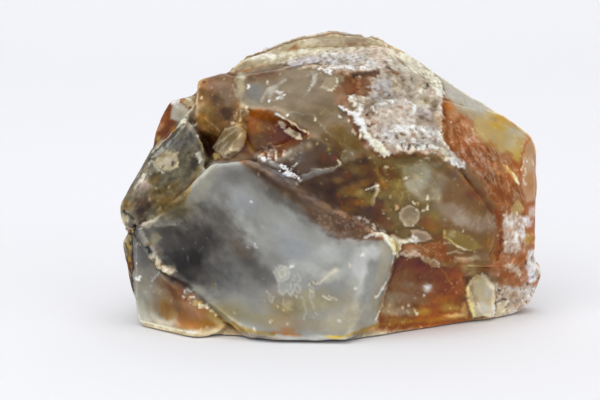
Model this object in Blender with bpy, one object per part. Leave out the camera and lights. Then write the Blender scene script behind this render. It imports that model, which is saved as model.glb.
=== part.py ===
"""Rough limnosilicite: one broken lump of opal and chalcedony, modelled as a single faceted solid.

The stone is put together from convex lumps, each the hull of a few corners, which are fused into one
skin. Cracks, steps and a rough crust are then cut or raised on that skin, and its underside is
sawn flat so that it stands upright.

Corners are given in millimetres as an eye in front of the stone sees them: across to the right, up,
and near, which is how far the point stands out towards the eye.
"""
import math

import bmesh
import bpy
import numpy as np
from mathutils import Vector, noise

MM = 0.001

# Driving dimensions, in millimetres unless the name says otherwise
WIDTH = 97.0                 # the drawn corners span this from left to right
DRAWN_WIDTH = 96.6
EYE_DISTANCE = 500.0
EYE_TILT = math.radians(10.0)
SIGHT_ACROSS = -6.9          # where the eye's line of sight meets the drawing
SIGHT_UP = 31.7
FLOOR = 3.5                  # height of the sawn base above the drawing's zero
MIDDLE_SIDE = 0.5            # the middle of the stone, seen from above, before it is put at the origin
MIDDLE_BACK = 4.5
SKIN_VOXEL = 0.8             # fineness of the fused skin
TRIANGLES = 9400             # what the finished solid is thinned to
EDGE_MERGE = 0.12            # corners closer than this become one

# The lumps, front corners first; THICKNESS is how far each one reaches back into the stone
LUMPS = {
    "body": [
        (-44.8, 33.0, -3), (-44.9, 14, -2), (-44.7, 5.5, -1), (-43, 1.5, 2), (-40.5, 44.8, -4),
        (-36.2, 53.4, -6), (-23.8, 60.6, -6), (-14, 64.8, -8), (18.6, 65, -8), (46.3, 46.6, -8),
        (47.5, 43, -7), (47.7, 36, -6), (46.9, 30, -5), (47.2, 20, -6), (46.2, 10, -8),
        (44.2, 6.6, -10), (40.3, 4.4, -9), (-20, 53, 7), (2, 60.5, 3), (20, 58, 0), (5, 48, 11),
        (-30, 35, 11), (-20, 38, 14), (0, 30, 16), (15, 30, 14.5), (28, 38, 10), (30, 25, 10),
        (24, 17, 8), (12, 17, 10.5), (-40, 24, 6), (-31.5, -2, 10), (-22, -2, 11), (-12, -3, 16),
        (4, -3, 16), (11, -1, 5), (21, -1, 4), (28, 0, 0), (33, 1, -5), (36, 0, -14), (2, -1, -16),
        (-32, 0, -13), (-43, 2, -9), (-42, 28, -12.5), (-34, 48, -11.5), (-28, 55, -9.5),
        (-12, 60, -11), (12, 62, -11), (32, 50, -11.5), (44.5, 34, -12), (44.5, 14, -13),
        (2, 32, -18), (-16, 38, -16.5), (20, 42, -16), (-20, 12, -17), (18, 12, -18)],
    "window": [
        (-27.5, 40.3, 16.5), (-18.4, 40.9, 17.8), (-6.9, 34, 19.6), (3.5, 28.5, 20), (9.5, 25, 20),
        (14.9, 22.6, 17.5), (15, 18.4, 16), (12.6, 11, 14), (10.4, 2.9, 10), (8.7, 1.6, 12),
        (4, -0.8, 20), (-12.6, -0.8, 19.2), (-20, 0.6, 15.8), (-27.6, 7, 15.5), (-36.5, 15, 13),
        (-42.8, 25.5, 10.5), (-39, 28.6, 11), (-33.5, 30.8, 13.3), (-30.5, 37, 15)],
    "lower left": [
        (-44.6, 26, 6), (-37, 14.2, 12), (-28, 6.5, 14.6), (-24, 3, 14), (-26.5, 0.6, 14.2),
        (-31.5, -0.6, 14.7), (-37, 0.3, 9), (-43.2, 1.5, 3.5), (-45, 6, 2.5), (-45, 12, 4.5)],
    "left strip": [
        (-45.6, 26, 1), (-47.1, 23.2, -1), (-47.6, 21.6, -1.5), (-46.9, 20, -1), (-46.7, 17.3, -1),
        (-45.7, 12, -1), (-44.9, 9, 0), (-44, 20, 4)],
    "left shoulder": [
        (-41, 43.5, -1), (-33.2, 51, 3), (-30.2, 47, 9), (-28, 41, 13.5), (-33.5, 31.5, 12.3),
        (-42.5, 26.5, 9.5), (-45.8, 25, 4), (-48.2, 26.2, 2), (-48.5, 30.4, 1), (-45.2, 35.0, 0),
        (-43.4, 38, -1)],
    "back left": [
        (-40.7, 45, -4), (-39, 50, -5), (-36.9, 52, -5), (-36.9, 54.4, -5), (-35.2, 55, -5),
        (-33, 55.1, -5), (-31, 56, -5), (-30, 50, 2), (-35, 48, 0)],
    "upper left": [
        (-30.9, 59, -3), (-30.2, 60, -3), (-24.8, 61, -5), (-22, 60.4, 1), (-21.2, 57, 5),
        (-21, 54, 7), (-21.5, 51.8, 8), (-22.5, 49.5, 9.5), (-25.5, 47, 8), (-29.5, 47.5, 6),
        (-31, 50.5, 3.5), (-30.6, 53, 1), (-30.7, 56, -1)],
    "upper middle": [
        (-22, 60.2, 1.5), (-19, 60.7, 2.5), (-12, 61.8, 3.5), (-5, 62.8, 4), (1.5, 61.8, 4.5),
        (4, 58, 7), (4.5, 52, 10.5), (-4.7, 47, 13.5), (-12.4, 52.3, 11.5), (-19.5, 52.5, 9.5),
        (-21.5, 54, 7.5)],
    "middle": [
        (-17.5, 42, 15.5), (-11, 43.5, 14.5), (-5.5, 45.8, 13.8), (2, 50, 12.2), (6, 51, 11.5),
        (12, 44, 12.5), (24, 42, 11.6), (24, 36.5, 12.5), (24, 28, 14), (17, 25.5, 15.6),
        (11.5, 25, 18), (3.5, 28.8, 19), (-6.9, 34.2, 18.8)],
    "crust": [
        (2, 61.5, 4.5), (1.5, 62.4, 2), (14, 64, -3), (20, 61.5, -3), (25.5, 56, 2), (26.5, 48, 7),
        (28.5, 40.5, 11), (20, 42.5, 12.5), (13, 42.5, 13.5), (8, 46, 13.2), (4, 51, 12), (4, 56, 9)],
    "right dome": [
        (24, 41, 12), (29, 40.5, 11.6), (35, 32, 11), (38.5, 27, 9), (37.5, 20, 8), (33, 20, 10),
        (27, 23, 13), (24.5, 27, 14), (22, 31, 14.2), (22, 36.5, 13)],
    "amber step": [
        (12, 24.3, 17), (15, 27, 16), (21, 27, 14.8), (23, 29.5, 14.2), (28, 25, 12.8),
        (35.5, 20.5, 8.8), (38, 16, 6), (30, 16.5, 7.5), (25.5, 16.5, 10.5), (16, 18.3, 13.2)],
    "lower right": [
        (15, 18.4, 13), (24, 18, 10.8), (30.5, 16, 7.5), (31.5, 10, 4), (31.5, 3.6, -1), (21, 2, 4.6),
        (10.5, 2, 6.5), (12.3, 10.5, 10)],
    "lens": [
        (31.8, 13.3, 4), (34, 15, 4), (37, 14.8, 3.5), (38, 11.5, 2), (37.8, 4.6, -2.5),
        (34.2, 4.2, -1.5), (32.2, 4.4, 0), (31.2, 10.5, 3.5)],
    "corner matrix": [
        (37.5, 15.5, 3.2), (44, 17, -1.5), (48.2, 17.4, -5), (48.8, 14.7, -7), (46.5, 12.6, -7),
        (46.9, 10, -8), (45.6, 7.8, -9), (43, 6.0, -9), (40, 4.6, -8), (38, 4.4, -4)],
    "right band": [
        (27.5, 44, 10), (26.5, 55, 2.5), (33, 47, 6), (38, 40, 6), (41, 33, 5), (40, 28, 6.5),
        (38, 16, 4.5), (45.5, 17, -1.5), (47.2, 20, -3), (47, 24, -3), (46.9, 33, -3),
        (47.2, 40, -4), (45.2, 45.8, -6), (38, 50.8, -7)],
    "top ridge": [
        (-23.9, 61.4, -7), (-21.9, 63.3, -8), (-19.5, 64.5, -8.5), (-12, 65.9, -9), (-10.4, 68.1, -10.5),
        (-7, 69.1, -11), (-3.9, 68.8, -11), (0, 70.2, -11.5), (2.6, 69, -11.5), (9.7, 69, -11.5),
        (11, 68.5, -11), (14, 66.4, -10), (18.6, 65.3, -8), (-6, 62, -1), (8, 62, -1), (-20, 59, -5),
        (-12, 60, -11), (12, 61, -11), (18, 60, -8), (-8, 66, -15), (1, 67.3, -16), (10, 66, -15)],
    "back ridge": [
        (34, 3, -17), (26, 10, -20.5), (12, 20, -23.5), (-3, 36, -22.5), (-8, 46, -18.5),
        (45, 8, -11.5), (45.5, 30, -10.5), (31, 51, -10.5), (-20, 55, -9.5), (-38, 36, -10.5),
        (-12, 1, -14.5), (20, 0, -16), (0, 30, 0)],
    "back heel": [
        (-30, 6, -15.5), (-25, 16, -20), (-30, 27, -18.5), (-43.5, 6, -7.5), (-43.5, 27, -9),
        (-28, 42, -12.5), (-4, 24, -17.5), (-4, 2, -16), (-34, 0, -12), (-20, 20, 0)],
    "back crown": [
        (2, 57, -17), (16, 53, -17.5), (24, 46, -18), (35, 49, -10), (15, 64, -11.5), (10, 66, -14.5),
        (1, 67.2, -15.5), (-8, 66, -14.5), (-16, 62.5, -9.5), (-26, 56, -9.5), (-10, 46, -16),
        (20, 32, -17.5), (36, 38, -13), (10, 50, 0)],
}
THICKNESS = {
    "body": 0, "window": 12, "lower left": 10, "left strip": 7, "left shoulder": 12, "back left": 7,
    "upper left": 9, "upper middle": 14, "middle": 12, "crust": 12, "right dome": 10, "amber step": 8,
    "lower right": 9, "lens": 8, "corner matrix": 9, "right band": 9, "top ridge": 0,
    "back ridge": 0, "back heel": 0, "back crown": 0,
}
BACK_SHRINK = 0.85           # a lump's back is this much narrower than its front

# Cuts and swellings on the skin: outlines and lines are (across, up); amounts are millimetres
CRACK = [(-44.2, 26), (-42.6, 22), (-41, 19), (-38, 16), (-35, 13), (-31.5, 10.8), (-27.5, 7.2),
         (-24, 4.3), (-20, 1.4)]
CRACK_DEPTH = 1.3
CRACK_WIDTH = 0.9
RECESS = (-28.0, 44.2)
RECESS_DEPTH = 5.0
RECESS_REACH = 2.8
SCOOP = [(-20.3, 52.2), (-12.3, 52), (-5, 47), (-7, 45), (-11, 42.6), (-17, 42.6), (-20.4, 47.5)]
SCOOP_DEPTH = 1.6
CRUST_EDGE = [(1.8, 53), (5.5, 51.2), (7, 47.5), (9, 44.7), (13, 42.2), (20, 42.6), (28.5, 39.6),
              (26.5, 46), (25.5, 56), (20, 61.5), (13, 63.5), (0, 63.4), (0, 61), (6, 59), (5, 55)]
CRUST_HEIGHT = 0.7
CRUST_LUMPS = 0.5
FLAKE = [(-26.7, 43.7), (-23.5, 48.5), (-20, 49.7), (-18.9, 47.4), (-20.7, 43.2), (-24.8, 41.4)]
FLAKE_HEIGHT = 1.2
GLASSY = [                   # the smooth fracture faces, which have little grain
    [(-27, 40), (-18, 40.5), (-7, 33), (4, 27.5), (14.5, 22), (14.5, 18), (10.5, 3), (4, 0.5), (-13, 0.5),
     (-20, 2), (-28, 8), (-36, 15.5), (-42, 25.5), (-33.5, 30)],
    [(-44, 23), (-37, 13.5), (-28, 5.5), (-27, 2), (-32, 1), (-43, 3)],
    [(-20, 59), (-5, 61.5), (2, 60), (2, 50), (-5, 47.5), (-12, 52.5), (-20, 53)],
    [(15, 17.5), (24, 17), (30, 15), (31, 4), (11, 3)],
    [(25, 40), (34, 32), (37.5, 27), (36, 20.5), (28, 24), (24, 30)],
    [(-33, 50), (-31, 46), (-30, 41), (-38, 38), (-41, 43)]]
DISH = (-20, 20)             # the window is hollowed about here
DISH_DEPTH = 1.2
DISH_REACH = 13
SKIN_WAVES = 0.5             # slow swells all over
WAVE_SPAN = 17
SKIN_GRAIN = 0.28            # small lumps where the skin is rough
LUMP_SPAN = 4.2
GLASSY_GRAIN = 0.06
STEP_WIDTH = 0.7             # how wide the edge of a cut or swelling is
FRONT_LIMIT = -8             # cuts and swellings stay nearer than this


def place(across, up, near):
    """The point of space that the eye sees at across and up, standing out by near; in metres."""
    shrink = 1.0 - near / EYE_DISTANCE
    side = SIGHT_ACROSS + (across - SIGHT_ACROSS) * shrink
    rise = SIGHT_UP + (up - SIGHT_UP) * shrink
    forward = rise * math.sin(EYE_TILT) - near * math.cos(EYE_TILT)
    height = rise * math.cos(EYE_TILT) + near * math.sin(EYE_TILT) - FLOOR
    return Vector((side - MIDDLE_SIDE, forward - MIDDLE_BACK, height)) * MM * (WIDTH / DRAWN_WIDTH)


def drawn(points):
    """The across, up and near of an array of points in metres: place, the other way round."""
    side, forward, height = (points / MM / (WIDTH / DRAWN_WIDTH)).T
    side = side + MIDDLE_SIDE
    forward = forward + MIDDLE_BACK
    height = height + FLOOR
    rise = forward * math.sin(EYE_TILT) + height * math.cos(EYE_TILT)
    near = height * math.sin(EYE_TILT) - forward * math.cos(EYE_TILT)
    shrink = 1.0 - near / EYE_DISTANCE
    across = SIGHT_ACROSS + (side - SIGHT_ACROSS) / shrink
    up = SIGHT_UP + (rise - SIGHT_UP) / shrink
    return across, up, near


def add_lump(bm, corners, thickness):
    """A convex lump: the hull of its corners and, for a facet, of the same corners further back."""
    points = [Vector(corner) for corner in corners]
    if thickness:
        middle = sum(points, Vector()) / len(points)
        points += [middle + (point - middle) * BACK_SHRINK - Vector((0, 0, thickness)) for point in points]
    verts = [bm.verts.new(place(*point)) for point in points]
    hull = bmesh.ops.convex_hull(bm, input=verts)
    inner = [item for item in hull["geom_interior"] if isinstance(item, bmesh.types.BMVert)]
    bmesh.ops.delete(bm, geom=inner, context="VERTS")


def fused_skin():
    """All the lumps, fused to one closed skin of small even faces."""
    bm = bmesh.new()
    for name, corners in LUMPS.items():
        add_lump(bm, corners, THICKNESS[name])
    mesh = bpy.data.meshes.new("lumps")
    bm.to_mesh(mesh)
    bm.free()
    lumps = bpy.data.objects.new("lumps", mesh)
    bpy.context.scene.collection.objects.link(lumps)
    remesh = lumps.modifiers.new("fuse", "REMESH")
    remesh.mode = "VOXEL"
    remesh.voxel_size = SKIN_VOXEL * MM
    return applied(lumps)


def applied(obj):
    """The object's mesh with its modifiers made real, taking the place of the object."""
    graph = bpy.context.evaluated_depsgraph_get()
    mesh = bpy.data.meshes.new_from_object(obj.evaluated_get(graph))
    bpy.data.objects.remove(obj)
    return mesh


def line_distance(across, up, line):
    """How far each point is from a line of straight runs."""
    best = np.full(across.shape, 1e9)
    for (ax, ay), (bx, by) in zip(line, line[1:]):
        run_x, run_y = bx - ax, by - ay
        along = ((across - ax) * run_x + (up - ay) * run_y) / (run_x ** 2 + run_y ** 2)
        along = np.clip(along, 0, 1)
        best = np.minimum(best, np.hypot(across - ax - along * run_x, up - ay - along * run_y))
    return best


def inside(across, up, outline, soft):
    """1 well inside an outline and 0 well outside, with an edge soft millimetres wide."""
    crossings = np.zeros(across.shape, dtype=int)
    ring = outline + outline[:1]
    for (ax, ay), (bx, by) in zip(ring, ring[1:]):
        if ay == by:
            continue
        spans = (ay > up) != (by > up)
        crossings += spans & (across < ax + (up - ay) * (bx - ax) / (by - ay))
    distance = line_distance(across, up, ring) * np.where(crossings % 2, 1, -1)
    return np.clip(0.5 + distance / soft, 0, 1)


def noise_at(points, scale, octaves):
    """Cloud noise between about -1 and 1, with lumps of about scale millimetres."""
    return np.array([
        noise.fractal(Vector(point) / (scale * MM), 1.0, 2.0, octaves) for point in points])


def carve(mesh):
    """Cut the crack, the recess and the scoop, and raise the crust and the roughness of the skin."""
    count = len(mesh.vertices)
    points = np.empty(count * 3)
    normals = np.empty(count * 3)
    mesh.vertices.foreach_get("co", points)
    mesh.vertices.foreach_get("normal", normals)
    points = points.reshape(-1, 3)
    normals = normals.reshape(-1, 3)
    across, up, near = drawn(points)
    toward_eye = np.array((0, -math.cos(EYE_TILT), math.sin(EYE_TILT)))
    facing = np.clip(normals @ toward_eye * 2, 0, 1) * (near > FRONT_LIMIT)

    crack = np.clip(1 - line_distance(across, up, CRACK) / CRACK_WIDTH, 0, 1)
    recess = np.exp(-((across - RECESS[0]) ** 2 + (up - RECESS[1]) ** 2) / RECESS_REACH ** 2)
    scoop = inside(across, up, SCOOP, STEP_WIDTH)
    crust = inside(across, up, CRUST_EDGE, STEP_WIDTH)
    flake = inside(across, up, FLAKE, STEP_WIDTH)
    dish = np.exp(-((across - DISH[0]) ** 2 + (up - DISH[1]) ** 2) / DISH_REACH ** 2)
    lumps = noise_at(points, LUMP_SPAN, 3)
    pushed = -CRACK_DEPTH * crack - RECESS_DEPTH * recess - SCOOP_DEPTH * scoop - DISH_DEPTH * dish
    pushed += FLAKE_HEIGHT * flake + crust * (CRUST_HEIGHT + CRUST_LUMPS * lumps)
    points += (toward_eye * (pushed * facing)[:, None]) * MM

    glassy = facing * sum(inside(across, up, outline, STEP_WIDTH) for outline in GLASSY)
    grain = SKIN_GRAIN + (GLASSY_GRAIN - SKIN_GRAIN) * np.clip(glassy, 0, 1)
    swell = SKIN_WAVES * noise_at(points, WAVE_SPAN, 2) + grain * lumps
    points += normals * swell[:, None] * MM
    mesh.vertices.foreach_set("co", points.ravel())
    mesh.update()


def thinned(mesh):
    """The carved skin with fewer, larger faces where it is flat."""
    skin = bpy.data.objects.new("skin", mesh)
    bpy.context.scene.collection.objects.link(skin)
    mesh.calc_loop_triangles()
    thin = skin.modifiers.new("thin", "DECIMATE")
    thin.ratio = TRIANGLES / len(mesh.loop_triangles)
    return applied(skin)


def stand_flat(mesh):
    """Saw the underside off level, close the cut, and put the middle of the base at the origin."""
    bm = bmesh.new()
    bm.from_mesh(mesh)
    bmesh.ops.remove_doubles(bm, verts=bm.verts, dist=EDGE_MERGE * MM)
    everything = bm.verts[:] + bm.edges[:] + bm.faces[:]
    bmesh.ops.bisect_plane(bm, geom=everything, dist=1e-6, plane_co=(0, 0, 0), plane_no=(0, 0, 1),
                           clear_inner=True)
    rim = [edge for edge in bm.edges if edge.is_boundary]
    bmesh.ops.contextual_create(bm, geom=rim)
    bmesh.ops.triangulate(bm, faces=bm.faces)
    bmesh.ops.dissolve_degenerate(bm, edges=bm.edges, dist=EDGE_MERGE * MM)
    bmesh.ops.recalc_face_normals(bm, faces=bm.faces)
    low = Vector([min(vert.co[axis] for vert in bm.verts) for axis in range(3)])
    high = Vector([max(vert.co[axis] for vert in bm.verts) for axis in range(3)])
    bmesh.ops.translate(bm, verts=bm.verts, vec=(-(low.x + high.x) / 2, -(low.y + high.y) / 2, -low.z))
    bm.to_mesh(mesh)
    bm.free()


def stone_material():
    """Grey-brown chalcedony, half glossy."""
    material = bpy.data.materials.new("chalcedony")
    material.use_nodes = True
    shader = material.node_tree.nodes["Principled BSDF"]
    shader.inputs["Base Color"].default_value = (0.28, 0.22, 0.16, 1)
    shader.inputs["Roughness"].default_value = 0.45
    shader.inputs["Metallic"].default_value = 0
    return material


def build():
    """The whole stone, as one object."""
    for obj in list(bpy.data.objects):
        bpy.data.objects.remove(obj)
    mesh = fused_skin()
    carve(mesh)
    mesh = thinned(mesh)
    stand_flat(mesh)
    mesh.materials.clear()
    mesh.materials.append(stone_material())
    stone = bpy.data.objects.new("stone", mesh)
    bpy.context.scene.collection.objects.link(stone)


build()
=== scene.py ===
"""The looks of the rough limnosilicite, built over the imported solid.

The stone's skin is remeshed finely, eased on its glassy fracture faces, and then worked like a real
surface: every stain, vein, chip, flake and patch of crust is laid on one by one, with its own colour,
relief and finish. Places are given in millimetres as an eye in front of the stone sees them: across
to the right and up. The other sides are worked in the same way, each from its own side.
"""
import math

import bmesh
import bpy
import numpy as np
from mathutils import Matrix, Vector, noise


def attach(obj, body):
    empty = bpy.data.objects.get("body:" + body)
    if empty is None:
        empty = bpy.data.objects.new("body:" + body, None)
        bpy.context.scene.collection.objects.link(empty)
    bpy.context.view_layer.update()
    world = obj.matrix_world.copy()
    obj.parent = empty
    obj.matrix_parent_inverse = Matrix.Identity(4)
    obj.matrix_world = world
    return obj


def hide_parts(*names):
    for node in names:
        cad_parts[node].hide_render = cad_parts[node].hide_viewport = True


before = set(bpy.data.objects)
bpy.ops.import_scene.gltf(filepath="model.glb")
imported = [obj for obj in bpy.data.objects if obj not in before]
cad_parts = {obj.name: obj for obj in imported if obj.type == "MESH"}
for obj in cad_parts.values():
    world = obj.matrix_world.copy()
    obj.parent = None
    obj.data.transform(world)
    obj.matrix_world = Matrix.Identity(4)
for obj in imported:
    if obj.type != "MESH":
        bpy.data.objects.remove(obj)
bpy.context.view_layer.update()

MM = 0.001
DRAWN_SCALE = 97.0 / 96.6    # real millimetres to one drawn millimetre
EYE_DISTANCE = 500.0         # from the eye to the middle of the stone
EYE_TILT = math.radians(10.0)
TOWARD_EYE = np.array((0.0, -math.cos(EYE_TILT), math.sin(EYE_TILT)))
SIGHT_ACROSS = -6.9          # where the eye looks, in its own view
SIGHT_UP = 31.7
FLOOR = 3.5                  # the height of the resting face in the drawing
MIDDLE_SIDE = 0.5            # the part's middle in the drawing, to the side and backward
MIDDLE_BACK = 4.5
PICTURE_WIDTH = 138.0        # millimetres across the picture at the eye's distance
FILM_WIDTH = 36.0

SKIN_VOXEL = 0.42            # fineness of the worked skin
WELD = 0.001                 # the solid's corners this close are one
FIRST_EASING = (0.5, 8)      # strength and rounds of the smoothing everywhere
GLASSY_EASING = (0.6, 90)    # and on the glassy faces
GLASSY_BORDER = 1.5          # over which the easing of a glassy face sets in
GLASSY_FACING = 0.2          # least that the skin faces the eye to be eased
HIDDEN = -0.05               # where the skin faces away from the eye this far it is left coarser
TRIANGLES = 194000
BASE_GUARD = 1.5             # no relief this close to the resting face
BASE_MARGIN = 0.3            # and none at all within this
DEEPEST = 1.5                # most that the relief may move the skin
SHEEN = 0.024                # light that the gloss adds to the darkest stone
DARKEST = 0.004              # the darkest linear light in the ground colour
BRIGHTEST = 240              # the brightest screen value in it

# The grain of the relief: a lump's width, a shift, its height on glossy stone and what dull stone adds
GRAINS = ((1.1, 0, 0.02, 0.11), (4.5, 9, 0.04, 0.2))
# How edges are paler, partly as wear and partly as a painted highlight, and hollows darker with painted
# shade: rounds of averaging, least relief, sharpness, shares of both
PALE_EDGES_AND_HOLLOW_SHADE = ((3, 0.01, 16, 0.2, 0.2), (14, 0.06, 4, 0.15, 0.2))
HOLLOW_SHADE_TINT = np.array((0.75, 0.9, 1.0))     # how much the painted shade in a hollow takes from red, green and blue
WARMER = np.array((0.35, 0.0, -1.0))         # how a warmer tone moves red, green and blue

# The stone's own colours, as they look on a screen, and the painted shadow of the cleft
SOOT = (26, 22, 20)
# A near-black painted shadow, laid inside the cleft
CLEFT_SHADOW = (34, 40, 43)
COAL = (48, 46, 46)
SMOKE = (68, 65, 63)
ASH = (92, 88, 83)
GREY = (118, 116, 112)
MILK = (146, 146, 141)
SKIM = (153, 156, 158)
MIST = (168, 170, 166)
PEARL = (180, 179, 167)
FROST = (190, 191, 187)
SAGE = (150, 148, 134)
WAX = (168, 160, 137)
LICHEN = (149, 141, 115)
CREAM = (216, 209, 186)
WHITE = (236, 235, 230)
CHALK = (212, 210, 205)
LAVENDER = (200, 198, 208)
TAN = (175, 163, 132)
SAND = (194, 181, 165)
BONE = (188, 182, 168)
ROSE = (186, 148, 112)
DRAB = (134, 118, 96)
SLATE = (98, 92, 76)
OLIVE = (110, 91, 58)
MOSS = (96, 72, 36)
CITRINE = (134, 113, 62)
STRAW = (184, 161, 104)
MUSTARD = (178, 150, 64)
HONEY = (121, 86, 40)
TREACLE = (97, 66, 26)
AMBER = (138, 90, 32)
ORANGE = (166, 104, 50)
BURNT = (122, 66, 24)
RUST = (146, 88, 52)
SALMON = (164, 114, 82)
RUDDY = (106, 62, 34)
OXBLOOD = (90, 46, 22)
UMBER = (90, 72, 58)
BISTRE = (73, 56, 46)
PEAT = (58, 45, 37)
PLUM = (84, 66, 54)
MAUVE = (133, 106, 82)
LILAC = (147, 127, 109)
GOLDEN = (114, 92, 56)
EARTH = (117, 87, 56)


def drawn(points):
    """The across, up and near of an array of points in metres."""
    side, forward, height = (points / MM / DRAWN_SCALE).T
    side = side + MIDDLE_SIDE
    forward = forward + MIDDLE_BACK
    height = height + FLOOR
    rise = forward * math.sin(EYE_TILT) + height * math.cos(EYE_TILT)
    near = height * math.sin(EYE_TILT) - forward * math.cos(EYE_TILT)
    shrink = 1.0 - near / EYE_DISTANCE
    across = SIGHT_ACROSS + (side - SIGHT_ACROSS) / shrink
    up = SIGHT_UP + (rise - SIGHT_UP) / shrink
    return across, up, near


def eye_place():
    """Where the eye is, and the point that it looks at."""
    aim = Vector((SIGHT_ACROSS - MIDDLE_SIDE, SIGHT_UP * math.sin(EYE_TILT) - MIDDLE_BACK,
                  SIGHT_UP * math.cos(EYE_TILT) - FLOOR)) * MM * DRAWN_SCALE
    return aim + Vector(TOWARD_EYE) * EYE_DISTANCE * MM * DRAWN_SCALE, aim


def line_distance(across, up, line):
    """How far each point is from a line of straight runs."""
    best = np.full(across.shape, np.inf)
    for (ax, ay), (bx, by) in zip(line, line[1:]):
        run_x, run_y = bx - ax, by - ay
        along = ((across - ax) * run_x + (up - ay) * run_y) / (run_x ** 2 + run_y ** 2)
        along = np.clip(along, 0, 1)
        best = np.minimum(best, np.hypot(across - ax - along * run_x, up - ay - along * run_y))
    return best


def depth_inside(across, up, outline):
    """How far inside an outline each point is; negative outside it."""
    crossed = np.zeros(across.shape, dtype=int)
    ring = outline + outline[:1]
    for (ax, ay), (bx, by) in zip(ring, ring[1:]):
        if ay == by:
            continue
        spans = (ay > up) != (by > up)
        crossed += spans & (across < ax + (up - ay) * (bx - ax) / (by - ay))
    return line_distance(across, up, ring) * np.where(crossed % 2, 1, -1)


def direction(turn):
    """The across and up of a direction turned in degrees."""
    return math.cos(math.radians(turn)), math.sin(math.radians(turn))


def smooth_step(value):
    """Eases a value from 0 to 1."""
    value = np.clip(value, 0, 1)
    return value * value * (3 - 2 * value)


def spotted(noise_values, share, sharp):
    """How much of a colour lies where the noise is high, over a share of the ground."""
    return smooth_step((noise_values + 0.6 * share - 0.3) * sharp + 0.5)


def cloud(points, octaves=3):
    """Cloud noise between about -1 and 1 at each point; a unit is a lump's width."""
    return np.array([noise.fractal(Vector(point), 1.0, 2.0, octaves) for point in points])


def linear(colour):
    """A screen colour of 0 to 255 as linear light."""
    value = np.asarray(colour) / 255.0
    return np.where(value <= 0.04045, value / 12.92, ((value + 0.055) / 1.055) ** 2.4)


def vertex_array(mesh, name):
    """A point attribute of the mesh, such as co or normal, as rows of three."""
    values = np.empty(len(mesh.vertices) * 3)
    mesh.vertices.foreach_get(name, values)
    return values.reshape(-1, 3)


def working_object(mesh):
    """The mesh as an object in the scene, so that modifiers can work on it."""
    obj = bpy.data.objects.new("working", mesh)
    bpy.context.scene.collection.objects.link(obj)
    return obj


def applied(obj):
    """The object's mesh with its modifiers made real; the object itself goes."""
    graph = bpy.context.evaluated_depsgraph_get()
    mesh = bpy.data.meshes.new_from_object(obj.evaluated_get(graph))
    bpy.data.objects.remove(obj)
    return mesh


def add_weights(obj, name, weights):
    """A vertex group with a weight for each vertex, in steps of a tenth."""
    group = obj.vertex_groups.new(name=name)
    steps = np.round(weights * 10).astype(int)
    for step in range(1, 11):
        group.add(np.flatnonzero(steps == step).tolist(), step / 10, "REPLACE")


# The deep crack at the left, drawn a little further out than the solid's groove
CRACK = [(-43.2, 27), (-41, 22.3), (-38, 17.6), (-36, 15.4)]
CRACK_SHIFT = 2.0
CRACK_REACH = 4.6

# The smooth fracture faces, whose skin is eased until no trace of the solid's facets is left, and how much
GLASSY = [
    (0.6, [(-27, 40), (-18, 40.5), (-7, 33), (4, 27.5), (14.5, 22), (14.5, 18), (10.5, 3), (4, 0.5),
           (-13, 0.5), (-20, 2), (-28, 8), (-36, 15.5), (-42, 25.5), (-33.5, 30)]),
    (0.6, [(-44, 22), (-38, 13.5), (-29, 5.5), (-27, 2), (-32, 1), (-43, 3)]),
    (0.5, [(-20, 59), (-5, 61.5), (2, 60), (3, 50), (-3, 46.5), (-6, 42), (-18, 42), (-20, 53)]),
    (0.6, [(15, 17.5), (24, 17), (30, 15), (31, 4), (11, 3)]),
    (0.6, [(25, 40), (34, 35), (37, 30), (37, 17), (34, 15), (26, 19), (25, 24), (24, 30)]),
    (1.0, [(27, 44), (34, 44), (40, 36), (42, 28), (42, 15), (38, 12), (31, 13.5), (25, 17), (26, 20),
           (33, 19), (36, 22), (36, 29), (31, 37), (26, 40)]),
    (0.5, [(-33, 50), (-31, 46), (-30, 41), (-38, 38), (-41, 43)]),
    (0.5, [(27, 54), (36, 50), (42, 46), (40, 40), (34, 40), (28, 44)]),
    (0.5, [(-10, 40), (-6, 44), (0, 42), (4, 36), (12, 30), (11, 27), (0, 32)]),
]


def smoothed(obj, label, easing, group=""):
    """The object smoothed, all of it or by the weights of a group, with its modifiers made real."""
    smooth = obj.modifiers.new(label, "SMOOTH")
    smooth.factor, smooth.iterations = easing
    smooth.vertex_group = group
    return working_object(applied(obj))


def facing_eye(mesh):
    """How far each point of the mesh faces the eye."""
    return vertex_array(mesh, "normal") @ TOWARD_EYE


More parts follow.
